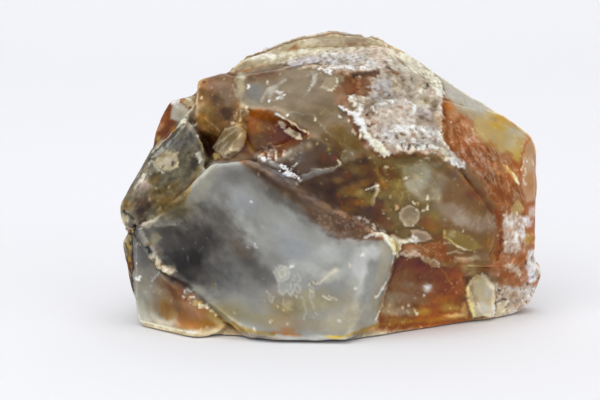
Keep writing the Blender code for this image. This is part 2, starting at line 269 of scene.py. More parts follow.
def fine_skin():
    """A fine closed skin over the solid, eased on the glassy faces and thinned at the back."""
    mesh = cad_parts["stone"].data.copy()
    bm = bmesh.new()
    bm.from_mesh(mesh)
    bmesh.ops.remove_doubles(bm, verts=bm.verts, dist=WELD * MM)
    bm.to_mesh(mesh)
    bm.free()
    mesh.materials.clear()
    skin = working_object(mesh)
    remesh = skin.modifiers.new("fine", "REMESH")
    remesh.mode = "VOXEL"
    remesh.voxel_size = SKIN_VOXEL * MM
    skin = smoothed(skin, "first easing", FIRST_EASING)

    places = vertex_array(skin.data, "co")
    across, up, near = drawn(places)
    drawn_left = smooth_step(1 - line_distance(across, up, CRACK) / CRACK_REACH)
    places[:, 0] -= CRACK_SHIFT * MM * drawn_left
    skin.data.vertices.foreach_set("co", places.astype(np.float32).ravel())
    skin.data.update()
    across, up, near = drawn(places)
    glassy = np.zeros(len(across))
    for much, outline in GLASSY:
        glassy = np.maximum(glassy, much * smooth_step(depth_inside(across, up, outline) / GLASSY_BORDER))
    add_weights(skin, "glassy", glassy * (facing_eye(skin.data) > GLASSY_FACING))
    skin = smoothed(skin, "easing", GLASSY_EASING, "glassy")
    facing = facing_eye(skin.data)
    bm = bmesh.new()
    bm.from_mesh(skin.data)
    bm.verts.ensure_lookup_table()
    hidden = [bm.verts[index] for index in np.flatnonzero(facing < HIDDEN)]
    bmesh.ops.unsubdivide(bm, verts=hidden, iterations=2)
    bm.to_mesh(skin.data)
    bm.free()
    skin.vertex_groups.clear()
    # The sides that the eye does not see are thinned with full weight, the front with half of it
    add_weights(skin, "unseen", np.clip(1.0 - smooth_step(facing_eye(skin.data) * 4), 0.5, 1.0))
    skin.data.calc_loop_triangles()
    thin = skin.modifiers.new("thin", "DECIMATE")
    thin.ratio = min(1.0, TRIANGLES / len(skin.data.loop_triangles))
    thin.vertex_group = "unseen"
    return applied(skin)


class Skin:
    """What is worked on the skin: its colour, its height in millimetres, and its finish."""

    def __init__(self, mesh):
        self.mesh = mesh
        self.points = vertex_array(mesh, "co") / MM
        self.normals = vertex_array(mesh, "normal")
        count = len(self.points)
        self.colour = np.empty((count, 3))
        self.lift = np.zeros(count)
        self.finish = {"gloss": np.full(count, 0.5), "chalk": np.zeros(count)}
        # Short and long waverings of an edge, one across and one up
        self.drift = [cloud(self.points / 1.6 + shift) for shift in (0.0, 31.0)]
        self.sway = [cloud(self.points / 6.0 + shift) for shift in (57.0, 83.0)]
        ends = np.empty(len(mesh.edges) * 2, dtype=int)
        mesh.edges.foreach_get("vertices", ends)
        self.ends = ends.reshape(-1, 2)

    def spread(self, values, rounds):
        """Each value averaged with its neighbours', a number of times over."""
        start, end = self.ends.T
        count = len(values)
        friends = np.bincount(start, minlength=count) + np.bincount(end, minlength=count)
        for _ in range(rounds):
            columns = [np.bincount(start, column[end], count) + np.bincount(end, column[start], count)
                       for column in values.reshape(count, -1).T]
            values = (np.stack(columns, 1) / friends[:, None]).reshape(values.shape)
        return values

    def standing_out(self, points, normals, rounds):
        """How far each point stands out from those around it, in millimetres."""
        return np.einsum("ij,ij->i", points - self.spread(points, rounds), normals)


class Side:
    """The skin as it is seen from one side, worked with marks placed across and up in that view."""

    def __init__(self, skin, across, up, near, seen):
        self.skin = skin
        self.shown = np.flatnonzero(seen > 0.01)
        self.across, self.up, self.near = across[self.shown], up[self.shown], near[self.shown]
        self.seen = seen[self.shown]

    def pick(self, points, margin):
        """The points of the skin in a box round a feature."""
        low = np.min(points, axis=0) - margin
        high = np.max(points, axis=0) + margin
        return np.flatnonzero((self.across > low[0]) & (self.across < high[0])
                              & (self.up > low[1]) & (self.up < high[1]))

    def places(self, pick, ragged, sway=0.0):
        """Where the picked points are, moved about a little so that no edge runs straight."""
        where = self.shown[pick]
        drift, wide = self.skin.drift, self.skin.sway
        return (self.across[pick] + ragged * drift[0][where] + sway * wide[0][where],
                self.up[pick] + ragged * drift[1][where] + sway * wide[1][where])

    def pattern(self, pick, span, turn, stretch, seed, octaves=3):
        """Cloud noise over the picked points, drawn out along a direction turned in degrees."""
        c, s = direction(turn)
        across, up = self.across[pick], self.up[pick]
        spots = np.stack([(across * c + up * s) / (span * stretch), (up * c - across * s) / span,
                          self.near[pick] / (2 * span) + seed], 1)
        return cloud(spots, octaves)

    def lay(self, pick, cover, colour=None, lift=0.0, **finish):
        """Covers some of the skin, as far as it is seen from this side."""
        cover = np.clip(cover, 0, 1) * self.seen[pick]
        where = self.shown[pick]
        skin = self.skin
        if colour:
            old = skin.colour[where]
            skin.colour[where] = old + (np.array(colour) - old) * cover[:, None]
        skin.lift[where] += lift * cover
        for name, value in finish.items():
            old = skin.finish[name][where]
            skin.finish[name][where] = old + (value - old) * cover

    def clear(self):
        """Takes off what other sides have put here, so that this side is worked afresh."""
        left = 1 - self.seen
        self.skin.lift[self.shown] *= left
        self.skin.finish["chalk"][self.shown] *= left

    def within(self, outline, soft, ragged=0.5, sway=0.0):
        """The points in and round an outline, and how much of each lies inside it."""
        pick = self.pick(outline, soft + ragged + sway)
        across, up = self.places(pick, ragged, sway)
        return pick, smooth_step(depth_inside(across, up, outline) / soft + 0.5)

    def patch(self, outline, colour=None, strength=1.0, soft=0.7, ragged=0.5, sway=0.0, **finish):
        """A patch with an outline."""
        pick, inside = self.within(outline, soft, ragged, sway)
        self.lay(pick, strength * inside, colour, **finish)

    def mottle(self, outline, colour, span, share=0.25, strength=0.5, sharp=1.8, soft=1.0, turn=0.0,
               stretch=1.0, seed=0.0, **finish):
        """Clouds or specks of a colour over a share of an outline; sharp ones have firmer edges."""
        pick, inside = self.within(outline, soft)
        cover = spotted(self.pattern(pick, span, turn, stretch, seed), share, sharp)
        self.lay(pick, strength * inside * cover, colour, **finish)

    def veins(self, outline, colour, span, width, strength, soft=1.0, turn=0.0, stretch=1.0, seed=0.0):
        """A net of thin winding veins inside an outline."""
        pick, inside = self.within(outline, soft)
        spots = np.abs(self.pattern(pick, span, turn, stretch, seed, 2)) / (width / span)
        self.lay(pick, strength * inside * smooth_step(1.4 - spots), colour)

    def clouds(self, rows):
        """Soft clouds: across, up, width, height, colour, strength and any turn in degrees."""
        for across, up, wide, high, colour, strength, *turn in rows:
            ragged = 0.25 + 0.25 * min(wide, high)
            pick = self.pick([(across, up)], max(wide, high) * 1.6 + ragged)
            drifted_across, drifted_up = self.places(pick, ragged)
            c, s = direction(sum(turn))
            side, rise = drifted_across - across, drifted_up - up
            reach = np.hypot((side * c + rise * s) / wide, (rise * c - side * s) / high)
            self.lay(pick, strength * smooth_step(1.35 - reach), colour)

    def tones(self, rows):
        """Soft blots of painted light and shade: across, up, width, height, how much lighter, and any
        warmth.
        """
        for across, up, wide, high, lighter, *warmer in rows:
            pick = self.pick([(across - wide, up - high), (across + wide, up + high)], max(wide, high))
            where = self.shown[pick]
            reach = ((self.across[pick] - across) / wide) ** 2 + ((self.up[pick] - up) / high) ** 2
            cover = np.exp(-reach) * self.seen[pick]
            self.skin.colour[where] *= 1 + cover[:, None] * (lighter + sum(warmer) * WARMER)

    def chip(self, centre, size, colour, strength=0.8, **finish):
        """A small firm chip with an uneven outline of its own."""
        pick = self.pick([centre], size * 2 + 0.3)
        across, up = self.places(pick, 0.25)
        side, rise = across - centre[0], up - centre[1]
        turn = np.arctan2(rise, side)
        # A number of the chip's own, from its place, sets how its outline wavers
        own = centre[0] * 7.3 + centre[1] * 3.1
        reach = size * (1 + 0.3 * np.sin(2 * turn + own) + 0.2 * np.sin(3 * turn + 2.3 * own))
        inside = smooth_step((reach - np.hypot(side, rise)) / 0.35 + 0.5)
        self.lay(pick, strength * inside, colour, **finish)

    def chips(self, rows, **finish):
        """Many chips: across, up, size and colour."""
        for across, up, size, colour in rows:
            self.chip((across, up), size, colour, **finish)

    def specks(self, outline, colour, count, size, seed):
        """Small chips scattered over an outline."""
        low, high = np.min(outline, axis=0), np.max(outline, axis=0)
        dice = np.random.default_rng(seed)
        for place in dice.uniform(low, high, (count, 2)):
            if depth_inside(place[:1], place[1:], outline)[0] > 0:
                grown = size * dice.uniform(0.6, 1.7)
                self.chip(tuple(place), grown, colour, dice.uniform(0.2, 0.75))

    def scratches(self, outline, colour, count, length, turn, seed):
        """Fine hairlines scattered over an outline, most of them near one direction."""
        low, high = np.min(outline, axis=0), np.max(outline, axis=0)
        dice = np.random.default_rng(seed)
        for place in dice.uniform(low, high, (count, 2)):
            if depth_inside(place[:1], place[1:], outline)[0] > 0:
                way = direction(turn + dice.normal(0, 22))
                reach = length * dice.uniform(0.5, 1.5) * np.array(way)
                bend = reach[::-1] * dice.uniform(-0.15, 0.15)
                line = [tuple(place - reach / 2), tuple(place + bend), tuple(place + reach / 2)]
                self.stroke(line, colour, 0.12, dice.uniform(0.15, 0.5), ragged=0.12)

    def grain(self, outline, amount, span, turn=0.0, stretch=1.0, soft=1.5, seed=0.0):
        """Lighter and darker clouding of what is already there."""
        pick, inside = self.within(outline, soft)
        depth = amount * inside * self.seen[pick] * self.pattern(pick, span, turn, stretch, seed + 5.5)
        self.skin.colour[self.shown[pick]] *= 1 + 1.6 * depth[:, None]

    def stroke(self, line, colour, width, strength, soft=0.35, ragged=0.35, broken=0.0, **finish):
        """A line along straight runs; a broken one comes and goes."""
        pick = self.pick(line, width + soft + ragged)
        across, up = self.places(pick, ragged)
        uneven = 1 + 0.35 * self.skin.drift[1][self.shown[pick]]
        cover = smooth_step((width / 2 * uneven - line_distance(across, up, line)) / soft + 0.5)
        if broken:
            cover = cover * smooth_step((self.pattern(pick, 1.2, 0.0, 1.0, 0.0) + 0.35 - broken) * 4 + 0.5)
        self.lay(pick, strength * cover, colour, **finish)

    def strokes(self, colour, width, strength, lines, **finish):
        """Many lines of one kind."""
        for line in lines:
            self.stroke(line, colour, width, strength, **finish)

    def tilt(self, outline, low, high, turn):
        """A flat break in the face, sloping from low to high along a direction in degrees."""
        pick, inside = self.within(outline, 0.9, sway=0.8)
        c, s = direction(turn)
        along = self.across[pick] * c + self.up[pick] * s
        reach = (along - along.min()) / max(np.ptp(along), 1)
        self.lay(pick, inside, lift=low + (high - low) * reach)

    def ripples(self, centre, radii, start, end, colour, width, strength, **finish):
        """Arcs round a centre between two directions in degrees, as a shell-like break leaves them."""
        for radius in radii:
            ways = [direction(turn) for turn in np.linspace(start, end, 7)]
            line = [(centre[0] + radius * c, centre[1] + radius * s) for c, s in ways]
            self.stroke(line, colour, width, strength, soft=0.4, ragged=0.6, broken=0.2, **finish)

    def ring(self, outline, colour, width, strength, **finish):
        """A line all the way round an outline."""
        self.stroke(outline + outline[:1], colour, width, strength, **finish)


# Outlines of the stone's own faces and layers, as they are seen from the front
WINDOW = [(-26.9, 40.5), (-21, 40.6), (-17.5, 38.5), (-12.5, 34.5), (-6.5, 30), (-1, 25), (2, 22.9),
          (8, 22.6), (14.6, 22.3), (15, 18.4), (13.8, 14.5), (12.7, 11), (11, 6.4), (10.6, 3), (8.7, 2.3),
          (5.8, 0.9), (3.5, -0.5), (-9.2, -0.5), (-18.4, 1), (-22.3, 3), (-24.8, 4.6), (-27.6, 6.9),
          (-31.5, 10.6), (-36.3, 15.2), (-40.9, 19.8), (-43.7, 25.3), (-39.1, 28.3), (-33.8, 30.8),
          (-32.2, 33.4), (-29.9, 38.2)]
VEIL = [(-20.7, 41), (-15, 39), (-10, 36), (-6, 34), (-2, 31), (2, 29), (5, 28.2), (8, 27.5), (12, 25.5),
        (13, 23.2), (9, 22.9), (2, 23), (-1, 25.2), (-6.5, 29.2), (-12.5, 33.5), (-17.5, 37.8)]
LOWER_LEFT = [(-45.3, 25), (-44, 25), (-42.5, 22), (-40.5, 18.5), (-36.3, 15), (-31.5, 10.4), (-27.6, 6.7),
              (-24, 4), (-20, 1), (-30, -1), (-44, 1.5), (-46, 7)]
LEFT_STRIP = [(-48.5, 25), (-45, 25), (-45.2, 15), (-45.4, 7), (-49, 8)]
SHOULDER = [(-49.5, 24), (-44, 25.2), (-39.1, 28.3), (-33.8, 30.8), (-32.2, 33.4), (-29.9, 38.2),
            (-27, 40.5), (-28.5, 44), (-30, 47), (-31.5, 51.5), (-34, 51.5), (-36.5, 47.5), (-40.5, 43.5),
            (-42.5, 38), (-45, 35), (-50, 31)]
BACK_LEFT = [(-42, 43.5), (-40, 43.8), (-36.5, 47.5), (-34, 51), (-31.5, 51.5), (-30, 57), (-37, 57),
             (-43, 50)]
UPPER_LEFT = [(-31.5, 51), (-30, 47), (-28.5, 44), (-26.5, 43), (-25.5, 46), (-23.5, 48.5), (-21, 50),
              (-20.5, 54), (-21.5, 58), (-21.5, 62), (-32, 61.5), (-31.8, 55)]
DIAMOND = [(-27, 43.6), (-25.7, 45.5), (-24, 48), (-21, 48.8), (-19.3, 47.5), (-19.3, 46), (-20, 44),
           (-21, 42.8), (-23.2, 41.3), (-24.7, 41.5), (-25.5, 42.5)]
UPPER_MIDDLE = [(-22, 62), (-21.5, 56), (-20.5, 52.5), (-14, 52.5), (-11, 50.8), (-8, 49.3), (-4.5, 47.3),
                (0.5, 44), (3, 41.5), (7, 42), (10, 43), (7, 48), (4, 52), (5, 55), (4, 61), (-2, 62.5),
                (-12, 62.5)]
ORANGE_FACET = [(-20.5, 46), (-20.3, 52.6), (-14, 52.3), (-11, 50.5), (-8, 49), (-4.8, 47.2), (-5.5, 45.8),
                (-8.5, 43.2), (-11, 41.5), (-17, 41), (-20, 42.5)]
PURPLE_FACET = [(-10.5, 40.5), (-9.8, 42.8), (-7, 45), (-5, 45.8), (-2, 45), (0.5, 43), (2.7, 41), (3, 40),
                (1, 39.2), (-4, 38.7), (-9, 39)]
UNDER_PURPLE = [(-19.5, 41.5), (-10, 40.5), (-4, 38.7), (3, 40), (8, 42), (13, 40), (15, 33), (13, 25.5),
                (8, 27.5), (5, 28.2), (2, 29), (-2, 31), (-6, 34), (-10, 36), (-15, 39)]
CENTRE = [(8, 43), (14, 41.5), (20, 42.5), (27, 39.5), (26, 30), (27, 27), (26, 22), (21, 20.5), (16.5, 22),
          (12, 25.5), (12, 29), (13, 33), (11, 37)]
DOME = [(25, 38), (29, 40.5), (36, 36), (39, 30), (39, 18), (36, 14), (30, 15.5), (26, 19), (25.5, 27),
        (24.5, 32)]
LOWER_RIGHT = [(15.3, 18.8), (20, 19.3), (22, 18.5), (25.8, 16.8), (30, 16.5), (31.8, 11), (32.6, 3),
               (22, 2), (10.8, 2), (12.7, 11), (13.8, 14.5)]
LENS = [(31.3, 11), (33, 13.2), (35, 14.6), (37, 13.2), (37.9, 10.5), (37.8, 7), (36.8, 4.8), (33, 4.6),
        (31.8, 7.5)]
MATRIX = [(37.8, 12.5), (41, 11.5), (44, 12), (48.5, 12), (47.5, 5), (41, 3.5), (37, 4.5), (38, 9)]
RIGHT_LOW = [(37, 20), (48.5, 25), (49.5, 14), (47, 11.5), (43, 12), (38, 12)]
RIGHT_BAND = [(25.5, 57), (28, 55), (37, 52), (48, 48.5), (50, 35), (49, 25), (45, 20), (38, 18), (38, 30),
              (35, 36), (31, 40), (27, 43.5), (26, 50)]
TOP_RIGHT = [(17, 66), (21, 61.5), (25.5, 58.5), (26, 55), (29, 53.2), (37, 50.6), (40, 52), (27, 61),
             (18, 68)]
CRUST = [(4.5, 51.8), (6.2, 49), (7.2, 46.8), (9.3, 44), (12.5, 42), (17, 43), (20, 43), (25, 42),
         (29, 39.5), (31, 38.8), (31, 40.5), (27.5, 43), (25.7, 46), (26, 50), (26, 55), (25.7, 58.5),
         (22.5, 62), (18, 65), (13, 66.8), (5, 66.3), (-3, 65.6), (-9, 64.3), (-12, 62.9), (-6, 62.2),
         (-1, 62.3), (2, 61.3), (5, 60), (7, 57.5), (5.5, 55.8), (4.5, 54.5), (6, 53)]
TOP_RIDGE = [(-26, 61.3), (-21, 61), (-12, 63), (-5, 65.3), (5, 66.2), (12, 67), (16, 66), (12, 71),
             (0, 72), (-8, 70), (-16, 66)]


def work_grounds(front):
    """The ground colour and finish of each face, before its details."""
    grounds = [(UPPER_MIDDLE, DRAB, 0.85), (TOP_RIDGE, TAN, 0.3), (SHOULDER, SLATE, 0.6),
        (BACK_LEFT, RUDDY, 0.4), (UPPER_LEFT, EARTH, 0.55), (UNDER_PURPLE, BISTRE, 0.75),
        (CENTRE, OLIVE, 0.8), (DOME, EARTH, 0.85), (LOWER_RIGHT, RUDDY, 0.9), (RIGHT_BAND, RUST, 0.5),
        (RIGHT_LOW, SALMON, 0.3), (MATRIX, SAND, 0.15), (TOP_RIGHT, BONE, 0.75), (LOWER_LEFT, DRAB, 0.85),
        (LEFT_STRIP, UMBER, 0.4), (ORANGE_FACET, RUDDY, 0.75), (PURPLE_FACET, PLUM, 0.9), (LENS, TAN, 0.85)]
    for outline, colour, gloss in grounds:
        front.patch(outline, colour, soft=1.6, ragged=0.6, gloss=gloss)


def work_window(front):
    """The big face of smoke-grey chalcedony: dark on the left, milky on the right, with a painted sheen and
    a painted highlight streak over the milky part.
    """
    front.patch(WINDOW, MILK, ragged=0.25, gloss=0.97)
    # The pale bluish clouds across the middle and right, and the brightest upright one, are partly the
    # stone's milky colour and partly a painted sheen of reflected light
    front.clouds([(-31, 20, 12, 9, ASH, 1, -30), (-38, 25, 6, 3, ASH, 0.8, 10),
        (-33, 18, 6, 5.5, COAL, 1, -40), (-36, 22, 4.5, 3, SMOKE, 0.9, -20), (-30, 23, 5, 3.5, SMOKE, 0.9),
        (-31, 14, 3.5, 3, SMOKE, 0.7, -40), (-27, 28, 5, 3, ASH, 0.9, -20),
        (-23, 23.5, 5, 3, ASH, 0.8, -45), (-19, 18.5, 4, 2.6, ASH, 0.9, -40),
        (-20, 20, 4, 1.6, UMBER, 0.4, -45), (-15, 14, 4.5, 2.4, ASH, 0.7, -30),
        (-26.5, 17.5, 3, 3, GREY, 0.5), (-24, 12, 5, 3, GREY, 0.7, -30), (-27.5, 13.5, 3, 3, ASH, 0.5, -30),
        (-20, 8, 5, 2.2, MILK, 0.8, -20), (-17, 10.5, 5, 2, GREY, 0.5, -25), (-26, 33, 4, 4, GREY, 0.7, 30),
        (-29, 35.5, 2.2, 4.5, SAGE, 0.9, -25), (-27, 38.5, 3, 1.8, SAGE, 0.6, 20),
        (-22.5, 37.5, 3.5, 2.4, GREY, 0.8, -30), (-20, 31, 4.5, 3, SKIM, 0.7, -40),
        (-24, 29.5, 2.4, 2.4, GREY, 0.4), (-10, 24, 5, 2.2, SKIM, 0.5, -25), (-8, 20, 5, 3, SKIM, 0.8, -15),
        (-5, 16, 4, 2.6, MIST, 0.8), (0, 19.5, 4.5, 2.6, MIST, 0.9), (0.5, 14.4, 3.6, 1.4, PEARL, 0.9, 15),
        (5, 16, 3, 4, MIST, 0.7), (-3, 8.6, 7, 3, LICHEN, 0.9, -5), (-11.5, 8.5, 4, 3, DRAB, 0.5),
        (1.5, 3.4, 6, 2.4, WAX, 0.9, 8), (5.5, 6, 2.6, 3, WAX, 0.9, -20), (6.6, 16.5, 2, 5, FROST, 0.8, 4),
        (9, 19.6, 3, 2.2, FROST, 0.8), (6, 11.5, 2, 2.5, PEARL, 0.6), (12, 15.5, 1.5, 4.5, WAX, 0.8, -10),
        (10.4, 8.5, 1.2, 4.5, LICHEN, 0.7, -12), (13, 20.6, 2, 2, WAX, 0.7),
        (-15, 4, 5, 1.8, LICHEN, 0.8, -12), (-10, 3.4, 4.4, 2.2, ROSE, 0.4, -5),
        (-9.6, 1.8, 2, 0.8, ORANGE, 0.5), (-5, 3, 4, 1.8, DRAB, 0.4), (-38, 27.3, 4, 1, SAGE, 0.5, 20),
        (-27, 22, 3, 2, SMOKE, 0.4, -40), (-25, 19, 2, 2.6, ASH, 0.5, 10),
        (-30.5, 11, 2.4, 1.4, SAGE, 0.7, -40), (-28, 16, 3, 1.6, SMOKE, 0.3),
        (-35, 28.6, 4, 1.2, ASH, 0.6, 15), (4.4, 9, 1.6, 3.4, WAX, 0.5), (8.6, 6, 1.4, 3, PEARL, 0.5, -10)])
    front.grain(WINDOW, 0.05, 3.6, turn=-35, stretch=2, soft=3)
    front.grain([(-45, 27), (-25, 34), (-15, 26), (-22, 12), (-34, 12)], 0.1, 1.5, turn=-50, stretch=2,
        soft=4, seed=4)
    # A soft white streak down the right that is a painted highlight, then bright streaks and the milky
    # right rim
    front.stroke([(8, 20), (8, 16), (7.2, 12), (5.4, 7)], WHITE, 1, 0.25, soft=1.6)
    front.stroke([(10.7, 4), (14.6, 17.5)], FROST, 0.5, 0.8, lift=0.1)
    front.stroke([(12.8, 12.8), (11.2, 9.8), (10.4, 9.4)], WHITE, 0.5, 0.8, lift=0.08)
    front.stroke([(1.5, 22.8), (5, 22.2), (9, 22.6)], FROST, 0.7, 0.5, soft=0.9)
    front.stroke([(-43.2, 25.6), (-39.6, 28.2), (-39, 29.4)], BONE, 0.9, 0.6, soft=0.7)
    front.stroke([(-39.6, 28.6), (-39, 30.2)], CHALK, 0.4, 0.6)
    front.stroke([(-42, 26), (-39.5, 26.7), (-36, 26.4), (-34.5, 26.8)], MILK, 0.9, 0.6, soft=0.9,
        ragged=0.8, broken=0.2)
    front.stroke([(-40.6, 26), (-37.6, 25.6)], FROST, 0.25, 0.45)


def window_marks(front):
    """Chips, crumbs and bruises on the big face; the white chips and pale rings, lines and specks on broken
    edges are partly painted glints and highlights.
    """
    pit = [(-13, 14.8), (-12.6, 16), (-11.4, 16.7), (-10, 16.3), (-9.3, 15), (-9.6, 13.7), (-10.6, 13),
        (-12, 13.2)]
    front.patch(pit, PEARL, 0.75, soft=0.5, ragged=0.15, lift=0.1, gloss=0.6)
    front.ring(pit, FROST, 0.35, 0.6, ragged=0.15, broken=0.05)
    front.ring([(-12, 15), (-11.2, 15.7), (-10.2, 15.2), (-10.4, 14.2), (-11.4, 14)], CREAM, 0.3, 0.6,
        ragged=0.15)
    tooth = [(-11.8, 13), (-11.8, 10.8), (-10.8, 9.8), (-10, 11), (-9, 9.7), (-8.5, 10.4), (-9, 12.4)]
    front.patch(tooth, MIST, 0.5, soft=0.4, ragged=0.15)
    front.stroke(tooth, FROST, 0.35, 0.7, ragged=0.15)
    # A bluish spot with a small white painted highlight on it, and a bone-coloured bruise
    front.clouds([(-8.6, 17, 1.2, 1, MIST, 0.8, 20), (-9, 16.4, 0.8, 0.4, WHITE, 0.8, 20),
        (-10, 7, 1.4, 1, BONE, 0.6, -40)])
    front.ring([(-8, 12.2), (-7, 12), (-6.6, 11), (-7.4, 10.3), (-8, 11)], FROST, 0.3, 0.65, ragged=0.15)
    front.strokes(FROST, 0.3, 0.6, [[(-7.7, 15.3), (-7, 13.6), (-7.7, 12.2)], [(-4.7, 9.6), (-3, 5.4)],
        [(-6.3, 9.4), (-5.4, 5.8), (-6.2, 4)], [(-13.8, 10.4), (-14, 8.6)], [(-10.8, 9), (-11, 7.7),
        (-8.5, 6.2)], [(-4.4, 11.4), (-4.7, 9.8)], [(-8, 14.6), (-8.5, 13.6)], [(-4, 11.6), (-3.6, 10.4),
        (-4.2, 9.4)], [(-14.6, 10.8), (-13.2, 9.4), (-13.6, 8)]])
    front.strokes(CREAM, 0.5, 0.75, [[(-4.6, 12), (-3.8, 12.7), (-2.4, 12.6)], [(-2, 13), (0, 15),
        (1.3, 15.3)], [(-1.5, 9.7), (-0.4, 9), (0.6, 9.2), (1.5, 8.8)]])
    front.clouds([(1, 15.2, 1.4, 0.7, CREAM, 0.7, 10), (-9.6, 7.6, 1, 1.4, PEARL, 0.5, 40)])
    front.chips([(-7.8, 9.5, 0.3, FROST), (-4.2, 10.6, 0.35, CREAM), (4.6, 16.7, 0.4, CREAM),
        (7.4, 19.1, 0.5, WHITE), (5.9, 11.3, 0.3, WHITE), (2, 4, 0.25, WHITE), (-17.5, 1.9, 0.35, WHITE),
        (-13.6, 3.8, 0.25, WHITE), (-22, 5.7, 0.3, FROST), (-18.2, 31.4, 0.25, WHITE),
        (-17, 20.8, 0.35, FROST), (-9.8, 3.2, 0.25, CREAM), (-16.4, 37.6, 0.2, WHITE),
        (-17.1, 21.5, 0.2, WHITE), (-19, 21, 0.25, MIST), (-12, 7.2, 0.3, CREAM), (-10.6, 6.4, 0.25, CREAM),
        (-0.2, 9.8, 0.2, CREAM)])
    front.chips([(-3.3, 12.8, 0.2, RUDDY), (-4, 12.3, 0.16, RUDDY), (-27, 12, 0.4, CITRINE)])
    front.specks(WINDOW, MIST, 70, 0.14, seed=3)
    front.scratches(WINDOW, MIST, 40, 1.4, 60, seed=4)
    front.scratches([(-16, 4), (-14, 16), (2, 16), (2, 4)], FROST, 40, 0.9, 70, seed=5)
    front.stroke([(-22.4, 3.4), (-20.5, 2.2), (-17, 1.2), (-13, 0.8)], CITRINE, 0.9, 0.85, soft=0.6)
    front.stroke([(-13, 1.2), (-7, 0.6)], ORANGE, 0.6, 0.8, soft=0.7)
    front.stroke([(-1, 0.2), (3, 0.2)], MUSTARD, 0.8, 0.85)
    front.stroke([(4, 0.5), (11, 3)], CITRINE, 0.7, 0.85)
    # The flakes that bridge the cleft, the bruises by it, and the pale corner over the standing flake
    front.stroke([(-20.4, 51.4), (-19, 52.7)], CREAM, 1.1, 0.7, ragged=0.7)
    front.patch([(-41.2, 19.4), (-39.6, 18.8), (-38, 17), (-36, 16.2), (-35.4, 15.2), (-37, 14.4),
        (-39.2, 15.4), (-41, 17.6)], TAN, 0.7, soft=0.6, ragged=0.8, lift=0.12, gloss=0.3)
    front.strokes(BONE, 0.6, 0.5, [[(-40.6, 18.8), (-39, 17.2)], [(-38.4, 16.2), (-36.4, 15.2)]])
    front.chips([(-40.4, 17.6, 0.4, MAUVE), (-38.6, 16.9, 0.25, RUDDY), (-36.8, 15.6, 0.3, LILAC),
        (-39.8, 18.4, 0.3, CREAM), (-37.6, 15.4, 0.3, CREAM)])
    front.patch([(-42, 21.8), (-41.2, 23.6), (-39.6, 24.2), (-38.8, 23.2), (-39.6, 22), (-41, 21.2)],
        LICHEN, 0.7, ragged=0.3)
    front.patch([(-43.4, 26.4), (-41.4, 27), (-39.2, 27.6), (-39.8, 26.4), (-42.6, 25)], BONE, 0.5,
        ragged=0.8, soft=0.5, lift=0.05)
    front.stroke([(-42, 27.2), (-39.8, 28.4), (-39, 30)], LICHEN, 0.7, 0.7, ragged=0.5)
    front.strokes(MIST, 0.3, 0.6, [[(-38.6, 26.2), (-35, 26.2)], [(-37.8, 27.6), (-35.6, 28)]])
    front.stroke([(-41.4, 21.8), (-40, 20.4), (-39, 19)], EARTH, 0.7, 0.45, soft=0.6)


